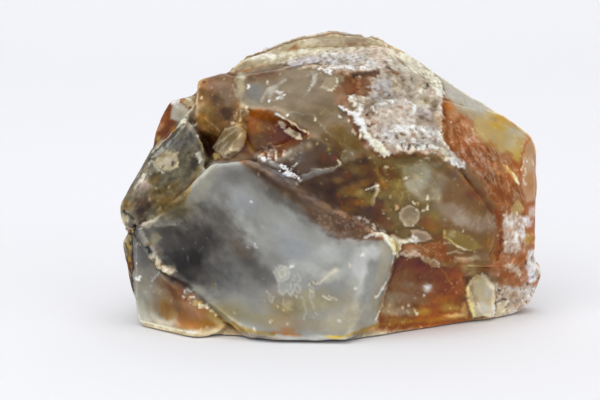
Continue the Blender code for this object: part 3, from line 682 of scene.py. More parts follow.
def work_lower_left(front):
    """The crack with its painted shadow, and the facet below it: grey, then orange-brown, then cream."""
    front.clouds([(-43.5, 21, 3, 4.4, GREY, 1), (-44, 17, 3, 4, GREY, 0.8), (-44.4, 22, 1.6, 3, ASH, 0.8),
        (-43, 13, 4.5, 4, SAGE, 0.5), (-43.5, 9.5, 4, 3, SAGE, 0.9), (-43, 5.6, 5, 2, WAX, 1, -5),
        (-44, 6, 2, 2.4, PEARL, 0.8), (-42, 4.6, 3, 1.2, PEARL, 0.7), (-40, 14, 3, 3.4, GREY, 0.6, -40),
        (-37.5, 12, 3, 1.6, EARTH, 0.9, -40), (-35, 10.5, 4, 2.4, RUDDY, 0.8, -40),
        (-39, 9, 2.4, 3.6, DRAB, 0.7), (-37.5, 6.6, 2, 3, AMBER, 0.7, 20),
        (-34.4, 7, 2.4, 3, EARTH, 0.8, -20), (-31.6, 7.5, 3.4, 2, SALMON, 0.6, -40),
        (-32, 4.5, 4, 2, RUST, 0.6, -20), (-30, 3, 4, 1.6, AMBER, 0.7, -20),
        (-33.5, 3, 4, 1, ORANGE, 0.4, -10), (-29, 6, 2, 1.4, ORANGE, 0.6, -35),
        (-26, 4, 3, 1.4, STRAW, 0.5, -30), (-28, 1.2, 5, 1, WAX, 0.7), (-37.5, 3.6, 3, 1, BONE, 0.8, -10),
        (-36, 5, 1.4, 1.8, STRAW, 0.3), (-27.6, 3.4, 2, 1, AMBER, 0.5, -30)])
    front.grain(LOWER_LEFT, 0.07, 1.6, turn=-50, stretch=3, soft=3)
    front.scratches(LOWER_LEFT, BONE, 50, 1.3, 60, seed=6)
    front.stroke([(-44.8, 4.6), (-43, 3.6), (-31, 1)], CREAM, 0.5, 0.8)
    front.stroke([(-42, 2.6), (-30, 0.4)], LICHEN, 0.6, 0.7)
    # The cleft along the big face's edge: its skin is raised to close it, and grey, smoke and near-black
    # strokes paint its shadow beside a brown line
    front.stroke([(-45.2, 25.8), (-41, 20)], ASH, 1.6, 0.6, soft=1.2)
    front.stroke([(-45.2, 26), (-44.4, 24.6), (-42.8, 22.4)], SMOKE, 2, 1, soft=0.5, lift=1)
    front.stroke([(-43.4, 25.2), (-42.2, 22.4)], UMBER, 1, 0.8)
    front.stroke([(-44.4, 25.4), (-42.9, 22.8), (-41, 19.4)], CLEFT_SHADOW, 1, 0.95, ragged=0.5)
    front.chips([(-40.7, 18.9, 0.8, SAND), (-39.9, 18, 1, BONE), (-39.2, 17, 0.8, ROSE),
        (-38.3, 16, 0.9, SAND), (-37.3, 15.5, 0.8, CHALK), (-40.3, 19.1, 0.35, CREAM),
        (-38.8, 16.5, 0.3, WHITE), (-39.6, 17.4, 0.3, WHITE)], lift=0.2, gloss=0.3)
    front.stroke([(-38.7, 15.8), (-40.8, 13)], MIST, 0.5, 0.7, lift=0.1)
    front.chips([(-32.9, 11, 0.5, CHALK), (-31.9, 10.9, 0.6, WHITE), (-33.6, 9.5, 0.35, CREAM),
        (-33, 8.8, 0.35, OXBLOOD), (-32.2, 9.2, 0.3, CREAM), (-30.6, 8, 0.8, STRAW),
        (-29.6, 7.3, 0.6, CREAM), (-28.3, 7.2, 0.55, WHITE), (-27.1, 6.1, 0.45, WHITE),
        (-26.1, 5.4, 0.45, WHITE), (-44.2, 13.5, 0.5, WHITE), (-43.7, 13.9, 0.3, WHITE),
        (-44.4, 17.2, 0.2, WHITE), (-33.2, 10.4, 0.25, WHITE), (-31.4, 9.4, 0.25, WHITE)], lift=0.12,
        gloss=0.4)
    front.stroke([(-25.5, 5.2), (-20, 1.8)], CITRINE, 0.9, 0.85)
    front.stroke([(-24.5, 3.6), (-21.5, 2.4)], TREACLE, 0.5, 0.6)
    front.specks(LOWER_LEFT, CREAM, 40, 0.14, seed=6)
    front.mottle(LEFT_STRIP, STRAW, 1.6, share=0.4, strength=0.8, sharp=3)
    front.mottle(LEFT_STRIP, SOOT, 1.2, strength=0.8, seed=4, sharp=3)
    front.clouds([(-46.6, 20.6, 1, 2, LICHEN, 0.8), (-46, 17, 0.8, 3, RUDDY, 0.6),
        (-46.8, 23, 0.8, 1.4, TAN, 0.8), (-45.7, 12, 0.6, 3, BURNT, 0.6)])
    front.strokes(SOOT, 0.35, 0.8, [[(-45.3, 24.4), (-45.4, 10)], [(-47, 22), (-46.4, 20)]])
    front.strokes(MUSTARD, 0.4, 0.8, [[(-46, 24), (-46, 22.4)], [(-46.4, 21.6), (-46, 17.6)]])
    front.stroke([(-45, 22), (-45, 7)], MILK, 0.3, 0.7)


def work_shoulder(front):
    """The left shoulder: smoky green-grey with tan scars, gold streaks and a double pale ridge."""
    front.clouds([(-47, 30.6, 1.4, 1.6, GOLDEN, 0.8), (-47.4, 27, 1.2, 1.6, TAN, 0.9),
        (-45.7, 25.6, 1.4, 1, DRAB, 0.7), (-45, 33.3, 1.6, 1.4, DRAB, 0.6, 40),
        (-43, 29.6, 2, 2.4, PEAT, 0.9, -20), (-44.3, 31, 1.6, 1.4, UMBER, 0.8),
        (-41.5, 31.3, 2, 1.4, UMBER, 0.7), (-40.5, 33, 2, 2, GOLDEN, 0.6),
        (-38, 31.6, 2.6, 1.2, GOLDEN, 0.8, 15), (-42.6, 35, 1.6, 1.6, LILAC, 0.9, 40),
        (-40.5, 36.4, 1.8, 1.2, GOLDEN, 0.7, 40), (-37, 34.7, 3, 1.2, GOLDEN, 0.7, 20),
        (-35, 33, 2.4, 1.4, GOLDEN, 0.6, 30), (-32, 36, 1.2, 2.6, DRAB, 0.6, -25),
        (-33, 45.5, 2, 3.4, ASH, 0.8, -30), (-31, 47, 1.2, 2.6, SMOKE, 0.6, -10),
        (-36, 44.4, 2, 1.6, GREY, 0.8, 45), (-38.5, 43.6, 1.4, 0.8, SAGE, 0.8, 45),
        (-31, 40, 1.4, 1.6, SMOKE, 0.6), (-34.2, 49.3, 0.8, 1.6, LICHEN, 0.7, -35)])
    front.grain(SHOULDER, 0.16, 1.1, soft=1)
    front.grain(SHOULDER, 0.12, 3, soft=1, seed=5, turn=40, stretch=1.6)
    front.patch([(-40.5, 40.4), (-39, 42.2), (-37.5, 42.8), (-35.2, 42.6), (-34.8, 39.2), (-36.6, 38.3),
        (-38.5, 38.6)], TAN, 0.95, lift=0.12, gloss=0.4)
    front.clouds([(-37, 40.5, 1.6, 1.2, SAND, 0.7), (-39, 39.6, 1, 0.8, CREAM, 0.4),
        (-38.5, 41.8, 1, 0.6, GOLDEN, 0.5, 20)])
    front.stroke([(-41, 40.8), (-39.8, 39), (-38.4, 38)], CREAM, 0.35, 0.8)
    front.stroke([(-40.8, 41.6), (-37.6, 43.2)], FROST, 0.35, 0.7)
    front.patch([(-31.2, 42.6), (-30, 43), (-29.4, 41.6), (-30, 40.2), (-30.6, 41.2)], BONE, 0.8, soft=0.5,
        lift=0.1)
    front.stroke([(-40.8, 42.7), (-35, 48.4), (-30.8, 54)], PEARL, 0.4, 0.85, lift=0.12)
    front.stroke([(-40.3, 42.2), (-38, 43.6), (-33.4, 49)], FROST, 0.3, 0.7)
    front.stroke([(-40, 43), (-37.6, 44.8), (-34.4, 48.2)], SMOKE, 0.6, 0.6)
    front.clouds([(-31.4, 49.2, 0.7, 0.6, BONE, 0.7, 20), (-39.5, 44.3, 0.8, 0.4, FROST, 0.6, 45)])
    front.stroke([(-47.6, 29.4), (-45, 27.2)], SOOT, 0.45, 0.8)
    front.stroke([(-30, 39), (-33.8, 31.2)], CITRINE, 0.7, 0.7, soft=0.6)
    front.stroke([(-43.5, 26.6), (-41, 27.6), (-39.2, 29)], PEAT, 0.7, 0.7, lift=-0.15)
    front.stroke([(-45, 34.4), (-43.2, 36.6), (-41.3, 40.4)], CREAM, 0.5, 0.6, broken=0.15)
    front.specks(SHOULDER, TAN, 60, 0.22, seed=8)
    front.specks(SHOULDER, PEAT, 40, 0.25, seed=9)


def work_upper_left(front):
    """The brown block over the shoulder, with its black recess, darkened by a patch of painted shade, and
    the diamond-shaped flake.
    """
    front.clouds([(-38, 47.6, 1.6, 2.6, RUDDY, 0.9, -35), (-38, 50, 1.2, 2, RUST, 0.5, -20),
        (-39.4, 45.5, 0.8, 1.4, STRAW, 0.7), (-36, 47.8, 0.8, 0.8, AMBER, 0.6),
        (-39, 48.6, 0.7, 1.4, ROSE, 0.5, -30)])
    front.patch([(-36.6, 50.2), (-36.2, 54), (-34.8, 54.6), (-33, 53.2), (-32.2, 51.6), (-34.4, 49.6)],
        PEARL, 0.85, gloss=0.75)
    front.clouds([(-34.3, 51.3, 1.4, 1, LICHEN, 0.7), (-35.8, 53.8, 0.7, 1.2, FROST, 0.6, 20)])
    front.stroke([(-36, 54.2), (-35, 54.8), (-34.6, 54)], WHITE, 0.4, 0.8)
    front.patch([(-34.2, 54.6), (-33.2, 55.6), (-30.6, 55.6), (-31, 53.4), (-32.8, 53.2)], TAN, 0.9,
        soft=0.5)
    front.chips([(-33.6, 54.6, 0.35, ORANGE), (-32.4, 54.8, 0.35, CREAM), (-33, 55.2, 0.25, WHITE),
        (-31, 54.2, 0.25, GOLDEN)])
    front.stroke([(-31.2, 53.2), (-33.4, 49.6)], CREAM, 0.35, 0.7)
    # The block itself
    front.clouds([(-29.5, 58.6, 1.4, 1.4, STRAW, 0.4), (-28, 58.4, 2.4, 1.2, SALMON, 0.6, 10),
        (-25, 58, 3, 1.6, MAUVE, 1), (-23, 57, 1.8, 2.4, MAUVE, 1, 30), (-23.4, 55, 1.8, 1.6, DRAB, 0.8),
        (-26.3, 54.7, 2, 1.4, UMBER, 0.8, -30), (-29.6, 53, 1.6, 1.4, TAN, 0.5),
        (-31, 51.6, 1, 1.6, DRAB, 0.8), (-28, 52, 2, 1.4, GOLDEN, 0.9, -20),
        (-23.6, 51.6, 2.2, 1.8, BISTRE, 0.9), (-29.6, 50, 1.8, 1.4, HONEY, 0.7)])
    front.grain(UPPER_LEFT, 0.09, 1.2, turn=-40, stretch=2)
    triangle = [(-28.6, 58.6), (-22.8, 59.2), (-21.4, 56.4), (-21.3, 52.6), (-23, 53.2), (-26.4, 56.6)]
    front.patch(triangle, MAUVE, 0.4, ragged=0.2)
    front.stroke([(-28.8, 50.6), (-25.4, 47.6)], STRAW, 0.3, 0.45)
    front.stroke([(-30.6, 57.6), (-30.4, 55.6), (-31, 53.8)], BONE, 0.3, 0.6)
    front.chips([(-29.6, 55.2, 0.25, CREAM), (-30.2, 46.6, 0.25, FROST), (-22.4, 49.3, 0.4, CREAM),
        (-20.6, 50.3, 0.4, CREAM), (-19.5, 51.6, 0.5, CHALK), (-29, 58.8, 0.3, OXBLOOD)])
    # A darker brown patch in the recess, painted as shade
    front.patch([(-28.7, 44.8), (-28.8, 42.2), (-27.5, 41.4), (-26.2, 42.2), (-27.4, 44.6)], UMBER, 0.9)
    front.stroke([(-30.5, 59.6), (-24.5, 61)], ROSE, 0.6, 0.8)
    front.stroke([(-21.8, 50.4), (-21.2, 53), (-21.4, 55.6), (-22.4, 58), (-21.6, 60)], TAN, 0.5, 0.6,
        broken=0.1)
    # The flake
    front.patch(DIAMOND, DRAB, 0.95, soft=0.4, ragged=0.15, lift=0.3, gloss=0.85)
    front.clouds([(-24, 46.4, 1.4, 1.2, OLIVE, 0.6)])
    front.ring(DIAMOND, CREAM, 0.25, 0.55, ragged=0.12, broken=0.1)
    front.strokes(CREAM, 0.3, 0.55, [[(-26.6, 43.7), (-21.4, 47.8)], [(-24.3, 41.7), (-20.3, 46.8)],
        [(-23, 43.6), (-21, 43.3)], [(-25.2, 42.8), (-23.4, 45)]])
    front.patch([(-27, 42), (-26.5, 42.6), (-25.5, 42.3), (-25.4, 41.4), (-26.4, 41)], STRAW, 0.9,
        soft=0.35, lift=0.2)
    front.specks(UPPER_LEFT, SAND, 40, 0.14, seed=12)


def work_upper_middle(front):
    """The grey-olive facet under the crust, and the pale flakes on it."""
    front.clouds([(-17.5, 56, 2.6, 3, GREY, 0.8), (-17, 57, 2, 1.2, MILK, 0.3),
        (-18.6, 54, 2.4, 1, LICHEN, 0.6), (-20.6, 58, 1, 2.6, TAN, 0.9),
        (-20.2, 60.2, 1.2, 0.8, CREAM, 0.7), (-20.8, 55.5, 0.8, 1.6, WAX, 0.6),
        (-13.3, 57, 1.4, 1, BONE, 0.9, 30), (-2, 51.5, 3, 1.6, OLIVE, 0.4), (-3, 49, 2, 1.6, GOLDEN, 0.4),
        (1, 53, 2.4, 1.4, GOLDEN, 0.4), (3, 54.5, 2.4, 1.4, SALMON, 0.7), (2, 57, 2, 1.4, RUST, 0.5),
        (1, 47, 3, 2, GOLDEN, 0.8, -30), (4, 45.5, 3, 2, GOLDEN, 0.8, -40),
        (2, 43.5, 2.4, 1.4, MOSS, 0.8, -40), (-1, 46, 2, 1, MOSS, 0.7, -40),
        (6.5, 44, 2, 1.6, MOSS, 0.7, -40)])
    front.grain(UPPER_MIDDLE, 0.07, 1.6, turn=-20, stretch=2, soft=1.5)
    front.patch([(-19.6, 58.4), (-19.4, 60.8), (-10, 62), (-11, 60.2), (-13, 59.2), (-15.5, 59.2),
        (-17.5, 58.3)], MAUVE, 0.85)
    front.clouds([(-18, 59.8, 1.2, 1, UMBER, 0.5), (-14, 60.8, 2.4, 0.7, UMBER, 0.5, 10)])
    front.stroke([(-10.4, 59.4), (-12.4, 57.8), (-14.5, 57.2), (-15.6, 54.4)], BONE, 0.6, 0.7)
    front.chips([(-11.6, 56.4, 0.6, CHALK), (-11.3, 55.2, 0.55, FROST), (-12, 55, 0.35, CHALK),
        (-13.7, 54.6, 0.4, WHITE), (-18.8, 57.8, 0.35, WHITE), (-9.7, 51.2, 0.3, WHITE),
        (-14.3, 58.9, 0.3, CREAM), (-10.6, 55.9, 0.3, WHITE), (-3.4, 50.3, 0.3, WHITE),
        (2.2, 50.8, 0.35, WHITE)], lift=0.08)
    front.patch([(-4, 60.6), (-3, 60.8), (-3, 59), (-6, 55.4), (-4.3, 58.4)], PEARL, 0.75, soft=0.4,
        ragged=0.15, lift=0.12)
    front.patch([(-2, 57.5), (-1, 60), (1.2, 60.2), (2, 59), (0.4, 57)], TAN, 0.45, lift=0.2)
    front.stroke([(-1.8, 57.5), (0.2, 57), (1.6, 58), (1.7, 59.6)], CREAM, 0.4, 0.85)
    front.strokes(PEARL, 0.25, 0.5, [[(-9, 52), (-3.2, 51)], [(-2.6, 49.8), (0.4, 46)], [(-6, 60),
        (-2.4, 62)]])
    front.stroke([(4.2, 52), (5, 49.2), (6.8, 46.4), (9, 43.8), (12.3, 41.7)], RUST, 1, 0.7, soft=0.8)
    front.clouds([(2, 48.4, 2.4, 1.6, HONEY, 0.4), (-7, 57.6, 2.4, 1.6, LICHEN, 0.4),
        (0.4, 45.4, 2, 1, TREACLE, 0.5, -30), (-16.4, 60.6, 1.6, 0.6, RUDDY, 0.5, 5)])
    front.scratches(UPPER_MIDDLE, TAN, 50, 1.2, -50, seed=14)
    front.specks(UPPER_MIDDLE, CREAM, 60, 0.13, seed=15)


def work_orange_facet(front):
    """The red-brown facet in the middle and its broken cream edge."""
    front.clouds([(-19.6, 51, 1.2, 1.4, STRAW, 0.6), (-17.5, 51.4, 1.6, 1, ORANGE, 0.5),
        (-15, 51.5, 2.4, 1, RUST, 0.5), (-19.6, 48.2, 1, 2, DRAB, 0.8), (-17.6, 48.6, 1.8, 2.4, AMBER, 0.6),
        (-15.4, 49, 1.8, 1.6, EARTH, 0.6), (-18, 45.6, 1.8, 2, HONEY, 0.8), (-16, 46, 2, 1.8, MOSS, 0.9),
        (-15, 43.6, 2.4, 1, UMBER, 0.7), (-18, 43.4, 1.4, 1.2, GOLDEN, 0.7)])
    front.grain(ORANGE_FACET, 0.08, 1.4, turn=60, stretch=2.2)
    front.stroke([(-12.4, 51.7), (-5, 47)], CREAM, 0.4, 0.85, lift=0.15)
    front.patch([(-12.2, 49.6), (-11.2, 50), (-10.2, 49), (-10.6, 48), (-11.6, 48.4)], SAND, 0.85, soft=0.4,
        lift=0.12)
    front.patch([(-10.8, 47.7), (-9.4, 48.4), (-6.8, 47), (-6.4, 45.4), (-7.6, 45.6)], CREAM, 0.88,
        soft=0.4, ragged=0.25, lift=0.2, gloss=0.35)
    front.specks(ORANGE_FACET, STRAW, 30, 0.14, seed=19)
    front.scratches(ORANGE_FACET, ROSE, 30, 1, -60, seed=20)


def work_purple_facet(front):
    """The smooth plum-grey facet, the white flaky seam beside it and the dark brown under it."""
    front.clouds([(-9, 42.4, 1.6, 2, DRAB, 0.7), (-7, 43.4, 1.6, 1.4, DRAB, 0.6),
        (-5, 44, 1.6, 1.2, MAUVE, 0.5), (-4.8, 44.4, 0.6, 0.8, TAN, 0.5, 20),
        (-7, 41.6, 1.6, 1.4, ASH, 0.6), (-2, 40.2, 2.4, 1, BISTRE, 0.8), (-1.4, 41.6, 1.4, 1.2, RUDDY, 0.6),
        (1.2, 41.4, 1, 0.8, BURNT, 0.9, -40)])
    front.chips([(-3, 44.7, 0.3, STRAW), (-0.3, 43.3, 0.35, MUSTARD), (0, 42.3, 0.25, STRAW),
        (-5, 45.9, 0.25, STRAW)])
    front.patch([(1.7, 41.4), (3, 40), (2.3, 39.7)], CREAM, 0.85, soft=0.35, lift=0.1)
    front.stroke([(-4, 38.7), (1, 39), (2.4, 39.8)], SAND, 0.3, 0.8)
    front.patch([(2.6, 41.2), (2.5, 42.6), (3.8, 43.2), (5.4, 42.6), (5.2, 41.2), (3.8, 40.4)], DRAB, 0.6,
        lift=0.1)
    front.strokes(FROST, 0.25, 0.6, [[(2.6, 41.5), (2.8, 42.7), (3.8, 43)], [(4.6, 42.8), (5.3, 42.2)],
        [(3.2, 41), (4.4, 41.6)]])
    front.specks([(-11, 40), (-10, 44), (-6, 45), (-6, 40)], PEARL, 50, 0.13, seed=22)
    # The seam of white flakes and the blue-grey flake under it
    front.mottle([(-17.5, 40.6), (-17.2, 43), (-14, 44.8), (-11.5, 44.4), (-10.4, 42), (-11, 40)], BONE,
        1.2, share=0.5, soft=1.4, lift=0.08, gloss=0.45)
    front.stroke([(-17, 41.6), (-11.5, 39.2)], MIST, 1.4, 0.7, soft=1, ragged=0.6)
    front.stroke([(-15.8, 41.4), (-14, 41), (-10.4, 39)], CHALK, 0.8, 0.85, ragged=0.9, broken=0.3,
        lift=0.2)
    front.stroke([(-11, 39.4), (-7.2, 35.8)], WHITE, 1.1, 0.95, ragged=0.8, broken=0.1, lift=0.3, chalk=0.3)
    front.strokes(CHALK, 0.35, 0.7, [[(-9.4, 38.2), (-7.8, 40.3)], [(-14.2, 41.2), (-13.6, 43.4)],
        [(-12.4, 41), (-12.6, 43.2)], [(-10.8, 42), (-10.6, 43.2)]], lift=0.1)
    front.patch([(-10.8, 41), (-10.4, 42.8), (-8.8, 43.6), (-9.4, 42)], BONE, 0.5)
    front.chips([(-9.6, 38.3, 0.22, UMBER), (-11.4, 39.8, 0.22, RUDDY), (-8.2, 36.9, 0.2, UMBER),
        (-13, 40.6, 0.2, UMBER)])
    front.stroke([(-18.4, 40.2), (-7.6, 35.4)], GREY, 1.3, 0.7, soft=0.9, lift=0.15)
    front.stroke([(-17, 40.3), (-10.4, 37.3)], SKIM, 0.5, 0.6)
    front.patch([(-8.6, 35.4), (-5.8, 37.6), (-3, 38.6), (0.8, 38.8), (0.6, 38.2), (-3.4, 37.2),
        (-6.4, 35.8)], GREY, 0.7, ragged=0.3, lift=0.1)
    front.stroke([(-7.4, 37), (-4, 38.2), (-1, 38.6)], MILK, 0.4, 0.5)
    # The dark hollow
    front.clouds([(-5, 35, 2.4, 1.6, PLUM, 0.6, -30), (-3.5, 34.6, 2, 1.2, PEAT, 0.5, -30),
        (0, 34.5, 1.6, 1.6, PEAT, 0.5), (-1.6, 36, 2, 1, PLUM, 0.8), (2, 36.4, 1.6, 1, EARTH, 0.7),
        (4, 37.3, 1.4, 1, RUDDY, 0.6), (4.6, 39.4, 2, 1.2, GOLDEN, 0.6), (6.6, 38.4, 2, 1.2, GOLDEN, 0.7),
        (8.4, 39, 1.8, 1.6, TREACLE, 0.8), (3, 33.6, 1.6, 1.4, GOLDEN, 0.5),
        (5.4, 33.6, 2.2, 1.4, HONEY, 0.8), (7, 33, 1.4, 1.2, CITRINE, 0.8),
        (5, 31, 2.2, 1.2, TREACLE, 0.9, -10), (7.4, 31, 2, 1.2, AMBER, 0.6),
        (9, 32, 1.4, 1.6, CITRINE, 0.7), (8, 35.6, 1.6, 1, HONEY, 0.7), (6, 35, 1.8, 1, EARTH, 0.6),
        (10, 37, 1.8, 1.6, TREACLE, 0.8), (12, 35.3, 2, 1.4, AMBER, 0.6), (11, 29.5, 1.8, 2, RUDDY, 0.5),
        (-15, 40, 2, 0.8, UMBER, 0.3, -30), (4, 29.4, 2.4, 0.8, HONEY, 0.6, -10)])
    front.grain(UNDER_PURPLE, 0.09, 1.4, turn=-30, stretch=1.8)
    front.stroke([(1.7, 33.3), (3.2, 29.4)], BURNT, 0.45, 0.8)
    front.stroke([(8.4, 34), (11.4, 35)], CREAM, 0.45, 0.8, lift=0.08)
    front.patch([(10.6, 35.6), (11.6, 35.4), (11.3, 33.6), (10, 31), (10.4, 33.6)], CREAM, 0.7, soft=0.5,
        lift=0.1)
    front.stroke([(9.6, 31), (10.6, 34)], STRAW, 0.7, 0.5)
    front.specks(UNDER_PURPLE, TAN, 70, 0.13, seed=25)


def work_veil(front):
    """The brown veil over the big face's upper edge, the rust line and the net of rust under it."""
    front.patch(VEIL, UMBER, 0.9, soft=3.8, ragged=0.8, gloss=0.85)
    front.clouds([(-15, 37, 3.4, 1.2, BISTRE, 0.5, -38), (-11, 35, 3.4, 1.2, BISTRE, 0.5, -38),
        (-12.5, 32.6, 3.4, 1.4, ASH, 0.7, -38), (-8, 30, 2.6, 1.4, ASH, 0.6, -40),
        (-4, 28, 3, 1.4, BISTRE, 0.5, -35), (9.4, 25, 1.4, 1, MAUVE, 0.8, -20),
        (-16.5, 35, 3, 1.4, GREY, 0.5, -40), (-5.6, 26.6, 2.6, 1, GREY, 0.8, -40)])
    front.grain(VEIL, 0.1, 1.2, turn=-38, stretch=2.2, soft=2)
    front.veins([(-4, 29), (1, 29.5), (8, 28), (13, 25), (12, 23.2), (2, 23.4), (-3, 26)], LILAC, 1.2, 0.12,
        0.5, soft=1)
    front.veins([(-2, 29), (8, 28), (11, 24), (2, 24)], OXBLOOD, 1.4, 0.16, 0.5, soft=1, seed=7)
    front.stroke([(7, 27.4), (12.6, 24.2)], CHALK, 0.9, 0.6, soft=0.6, ragged=0.6, broken=0.25, lift=0.15)
    front.stroke([(-0.5, 23.6), (3, 23), (10, 23.4)], UMBER, 0.6, 0.6)
    front.stroke([(8, 23.2), (9.6, 23.8), (11, 23.4)], WHITE, 0.5, 0.7)
    band = [(9.8, 24.4), (16, 23), (20.2, 22.6), (16.6, 21.6), (15.3, 18.4), (13.4, 21.8), (11.5, 23.2)]
    front.patch(band, CREAM, 0.9, lift=0.25, gloss=0.35, chalk=0.15)
    front.clouds([(15, 21, 1, 1.6, STRAW, 0.7, 20)])
    front.strokes(CITRINE, 0.3, 0.6, [[(13.4, 22.8), (14.8, 21.4), (15.6, 19.6)], [(12.4, 23.8),
        (14.6, 23)]])


def work_centre(front):
    """The olive-yellow middle with its two discs and amber crumbs."""
    front.clouds([(12.4, 38.6, 2.4, 1.8, TREACLE, 1), (14, 37.3, 2, 1.4, TREACLE, 0.9, -30),
        (18, 38.6, 1.6, 1.4, LICHEN, 0.8), (20.6, 39.4, 2, 1.4, LICHEN, 0.9),
        (22, 39, 1.6, 1.4, LICHEN, 0.6), (24.4, 40, 1.6, 1, DRAB, 0.8), (16, 35, 1.6, 1.6, CITRINE, 0.9),
        (18.4, 35, 1.6, 1.6, WAX, 0.8), (16, 33, 2, 1.2, CITRINE, 0.8), (20, 35.6, 2, 3, WAX, 0.9),
        (20.5, 34, 1.6, 1.4, WAX, 0.6), (22.4, 36.6, 1.8, 2.4, SAGE, 0.8), (24.4, 36, 1.6, 2.6, DRAB, 0.8),
        (22.4, 33, 2, 1.6, DRAB, 0.7), (24.4, 33, 1.6, 2, LICHEN, 0.8), (25, 30.6, 1.4, 1.6, DRAB, 0.7),
        (12, 33, 1.6, 1.2, CITRINE, 0.7), (12.4, 26.6, 2.4, 1.2, RUDDY, 0.7, -20),
        (21.6, 32, 2, 1, LICHEN, 0.6)])
    front.grain(CENTRE, 0.08, 1.5, turn=-40, stretch=1.8)
    front.veins([(8, 42), (20, 42), (26, 39), (26, 31), (14, 31)], STRAW, 2.6, 0.16, 0.35, soft=1.5,
        turn=-40, stretch=2)
    front.chips([(17.3, 36.6, 0.35, WHITE), (12.9, 39.3, 0.35, CREAM), (22.3, 41.3, 0.35, CREAM)])
    front.chips([(19.2, 30.9, 0.35, CREAM), (20.2, 30.8, 0.3, STRAW), (22.3, 30, 0.4, CREAM),
        (22.4, 32.1, 0.4, CREAM), (15.4, 30, 0.5, ROSE), (21.4, 29.3, 0.3, CREAM)], lift=0.1)
    # The round disc, and the lobed one below it
    disc = [(15.8, 28.6), (16.6, 29.8), (18.2, 30.5), (20, 29.8), (20.7, 28.6), (20.2, 26.8), (18.8, 25.6),
        (17.2, 25.8), (16.2, 27)]
    front.patch(disc, DRAB, 0.85, soft=0.4, ragged=0.12, lift=0.3, gloss=0.85)
    front.ring(disc, BONE, 0.3, 0.45, ragged=0.12, broken=0.1)
    lobes = [(18.4, 24.8), (20.3, 25), (22.2, 24.3), (23.7, 22.8), (21, 22), (18.8, 23.4)]
    front.patch(lobes, LILAC, 0.85, soft=0.45, ragged=0.15, lift=0.3, gloss=0.75)
    front.patch([(18.4, 22.2), (18.6, 23.4), (20, 23.2), (20.8, 22.2), (19.8, 21.8)], CHALK, 0.85, soft=0.4,
        lift=0.1)
    front.clouds([(22.4, 27, 2, 1.6, BURNT, 0.6), (23.6, 25.6, 2, 1.6, AMBER, 0.8),
        (24.3, 28, 1.6, 1.4, CITRINE, 0.7), (25, 22.6, 1.4, 1.4, BURNT, 0.6)])
    front.patch([(16.2, 21.4), (21, 21.6), (23.6, 22.2), (26.5, 21.6), (27.5, 18.4), (25, 17.2), (22, 18.8),
        (17, 19.6)], RUST, 0.8, soft=0.9)
    front.clouds([(18.4, 20.6, 1.6, 0.7, ROSE, 0.6), (26, 20.6, 1, 1.6, BURNT, 0.7)])
    front.veins([(16, 21.5), (26, 22), (26, 17), (17, 19)], ROSE, 1, 0.12, 0.5)
    front.patch([(15.4, 19.2), (17, 20.3), (20.4, 19.8), (25.2, 17.2), (25.8, 16.2), (23.6, 16.6),
        (21, 18.3), (18, 18.6)], SAND, 0.7, soft=0.5, ragged=0.9, lift=0.2, gloss=0.4)
    front.strokes(SAND, 0.25, 0.6, [[(18, 20), (20.6, 20.3)], [(21, 21), (22.6, 20)]])
    front.specks(CENTRE, CREAM, 60, 0.13, seed=31)
    front.scratches(CENTRE, WAX, 60, 1.3, -40, seed=33)


def work_dome(front):
    """The glassy brown dome on the right, with its lavender bulge and olive lens."""
    front.clouds([(26, 36, 1.6, 2.4, DRAB, 0.7), (28.4, 37.6, 2, 1.4, UMBER, 0.6),
        (31.4, 36, 1.8, 1.4, RUDDY, 0.5), (32.4, 33, 1.8, 1.4, RUDDY, 0.8),
        (34.4, 33, 1.6, 1.6, RUDDY, 0.7), (36.6, 29.4, 1.2, 1.8, RUDDY, 0.7),
        (37, 22, 1.6, 2.4, AMBER, 0.5), (26.4, 29, 1.4, 1.8, DRAB, 0.8)])
    front.patch([(26.4, 31), (28.4, 31.4), (31.4, 29.8), (34.6, 29.6), (38, 27.8), (38.2, 25.4),
        (34.6, 24.3), (30.4, 25.4), (27, 27)], LILAC, 0.8, soft=1.8)
    front.clouds([(30, 27, 2.4, 1.4, BONE, 0.3, -15), (34.4, 29, 3, 1, EARTH, 0.8, -15)])
    front.scratches([(27, 31), (38, 28), (38, 25), (28, 26.4)], BONE, 50, 1.8, 60, seed=34)
    front.grain(DOME, 0.06, 2.2, turn=-40, stretch=2)
    front.patch([(26.4, 24.2), (28, 24.8), (32, 23.6), (35, 21), (33.4, 20), (29, 20.8), (26.8, 22.6)],
        CITRINE, 0.85, soft=0.9, ragged=0.3, lift=0.1)
    front.clouds([(28, 23.6, 1, 0.6, TAN, 0.6)])
    front.stroke([(26.3, 24.6), (26.2, 23.4), (29.4, 21)], STRAW, 0.5, 0.75, lift=0.08)
    front.stroke([(26.4, 22), (33.6, 19.6)], CREAM, 0.4, 0.65, broken=0.15, lift=0.08)
    front.chips([(30.6, 24.5, 0.25, CREAM)])
    front.clouds([(27.4, 18, 1.2, 1.2, BURNT, 0.8), (31, 18, 2.4, 0.8, ROSE, 0.7),
        (33.4, 18.4, 1.2, 0.8, TAN, 0.6), (35.4, 18.6, 1.2, 1.2, MAUVE, 0.6),
        (37, 18.4, 1, 1.4, AMBER, 0.6), (32.4, 16.3, 2, 0.8, STRAW, 0.6), (35, 15.8, 1.6, 1, AMBER, 0.7),
        (33, 15, 1.4, 0.8, STRAW, 0.5), (37, 16, 1.4, 1, RUST, 0.6)])
    front.strokes(CREAM, 0.3, 0.5, [[(28.8, 18.4), (32.8, 18.4)], [(32, 16.8), (33.4, 16), (34.6, 16.2)],
        [(27, 19.6), (29, 20), (31, 19.4)]])
    front.specks(DOME, TAN, 60, 0.13, seed=35)
    front.scratches(DOME, TAN, 30, 1.4, -40, seed=36)


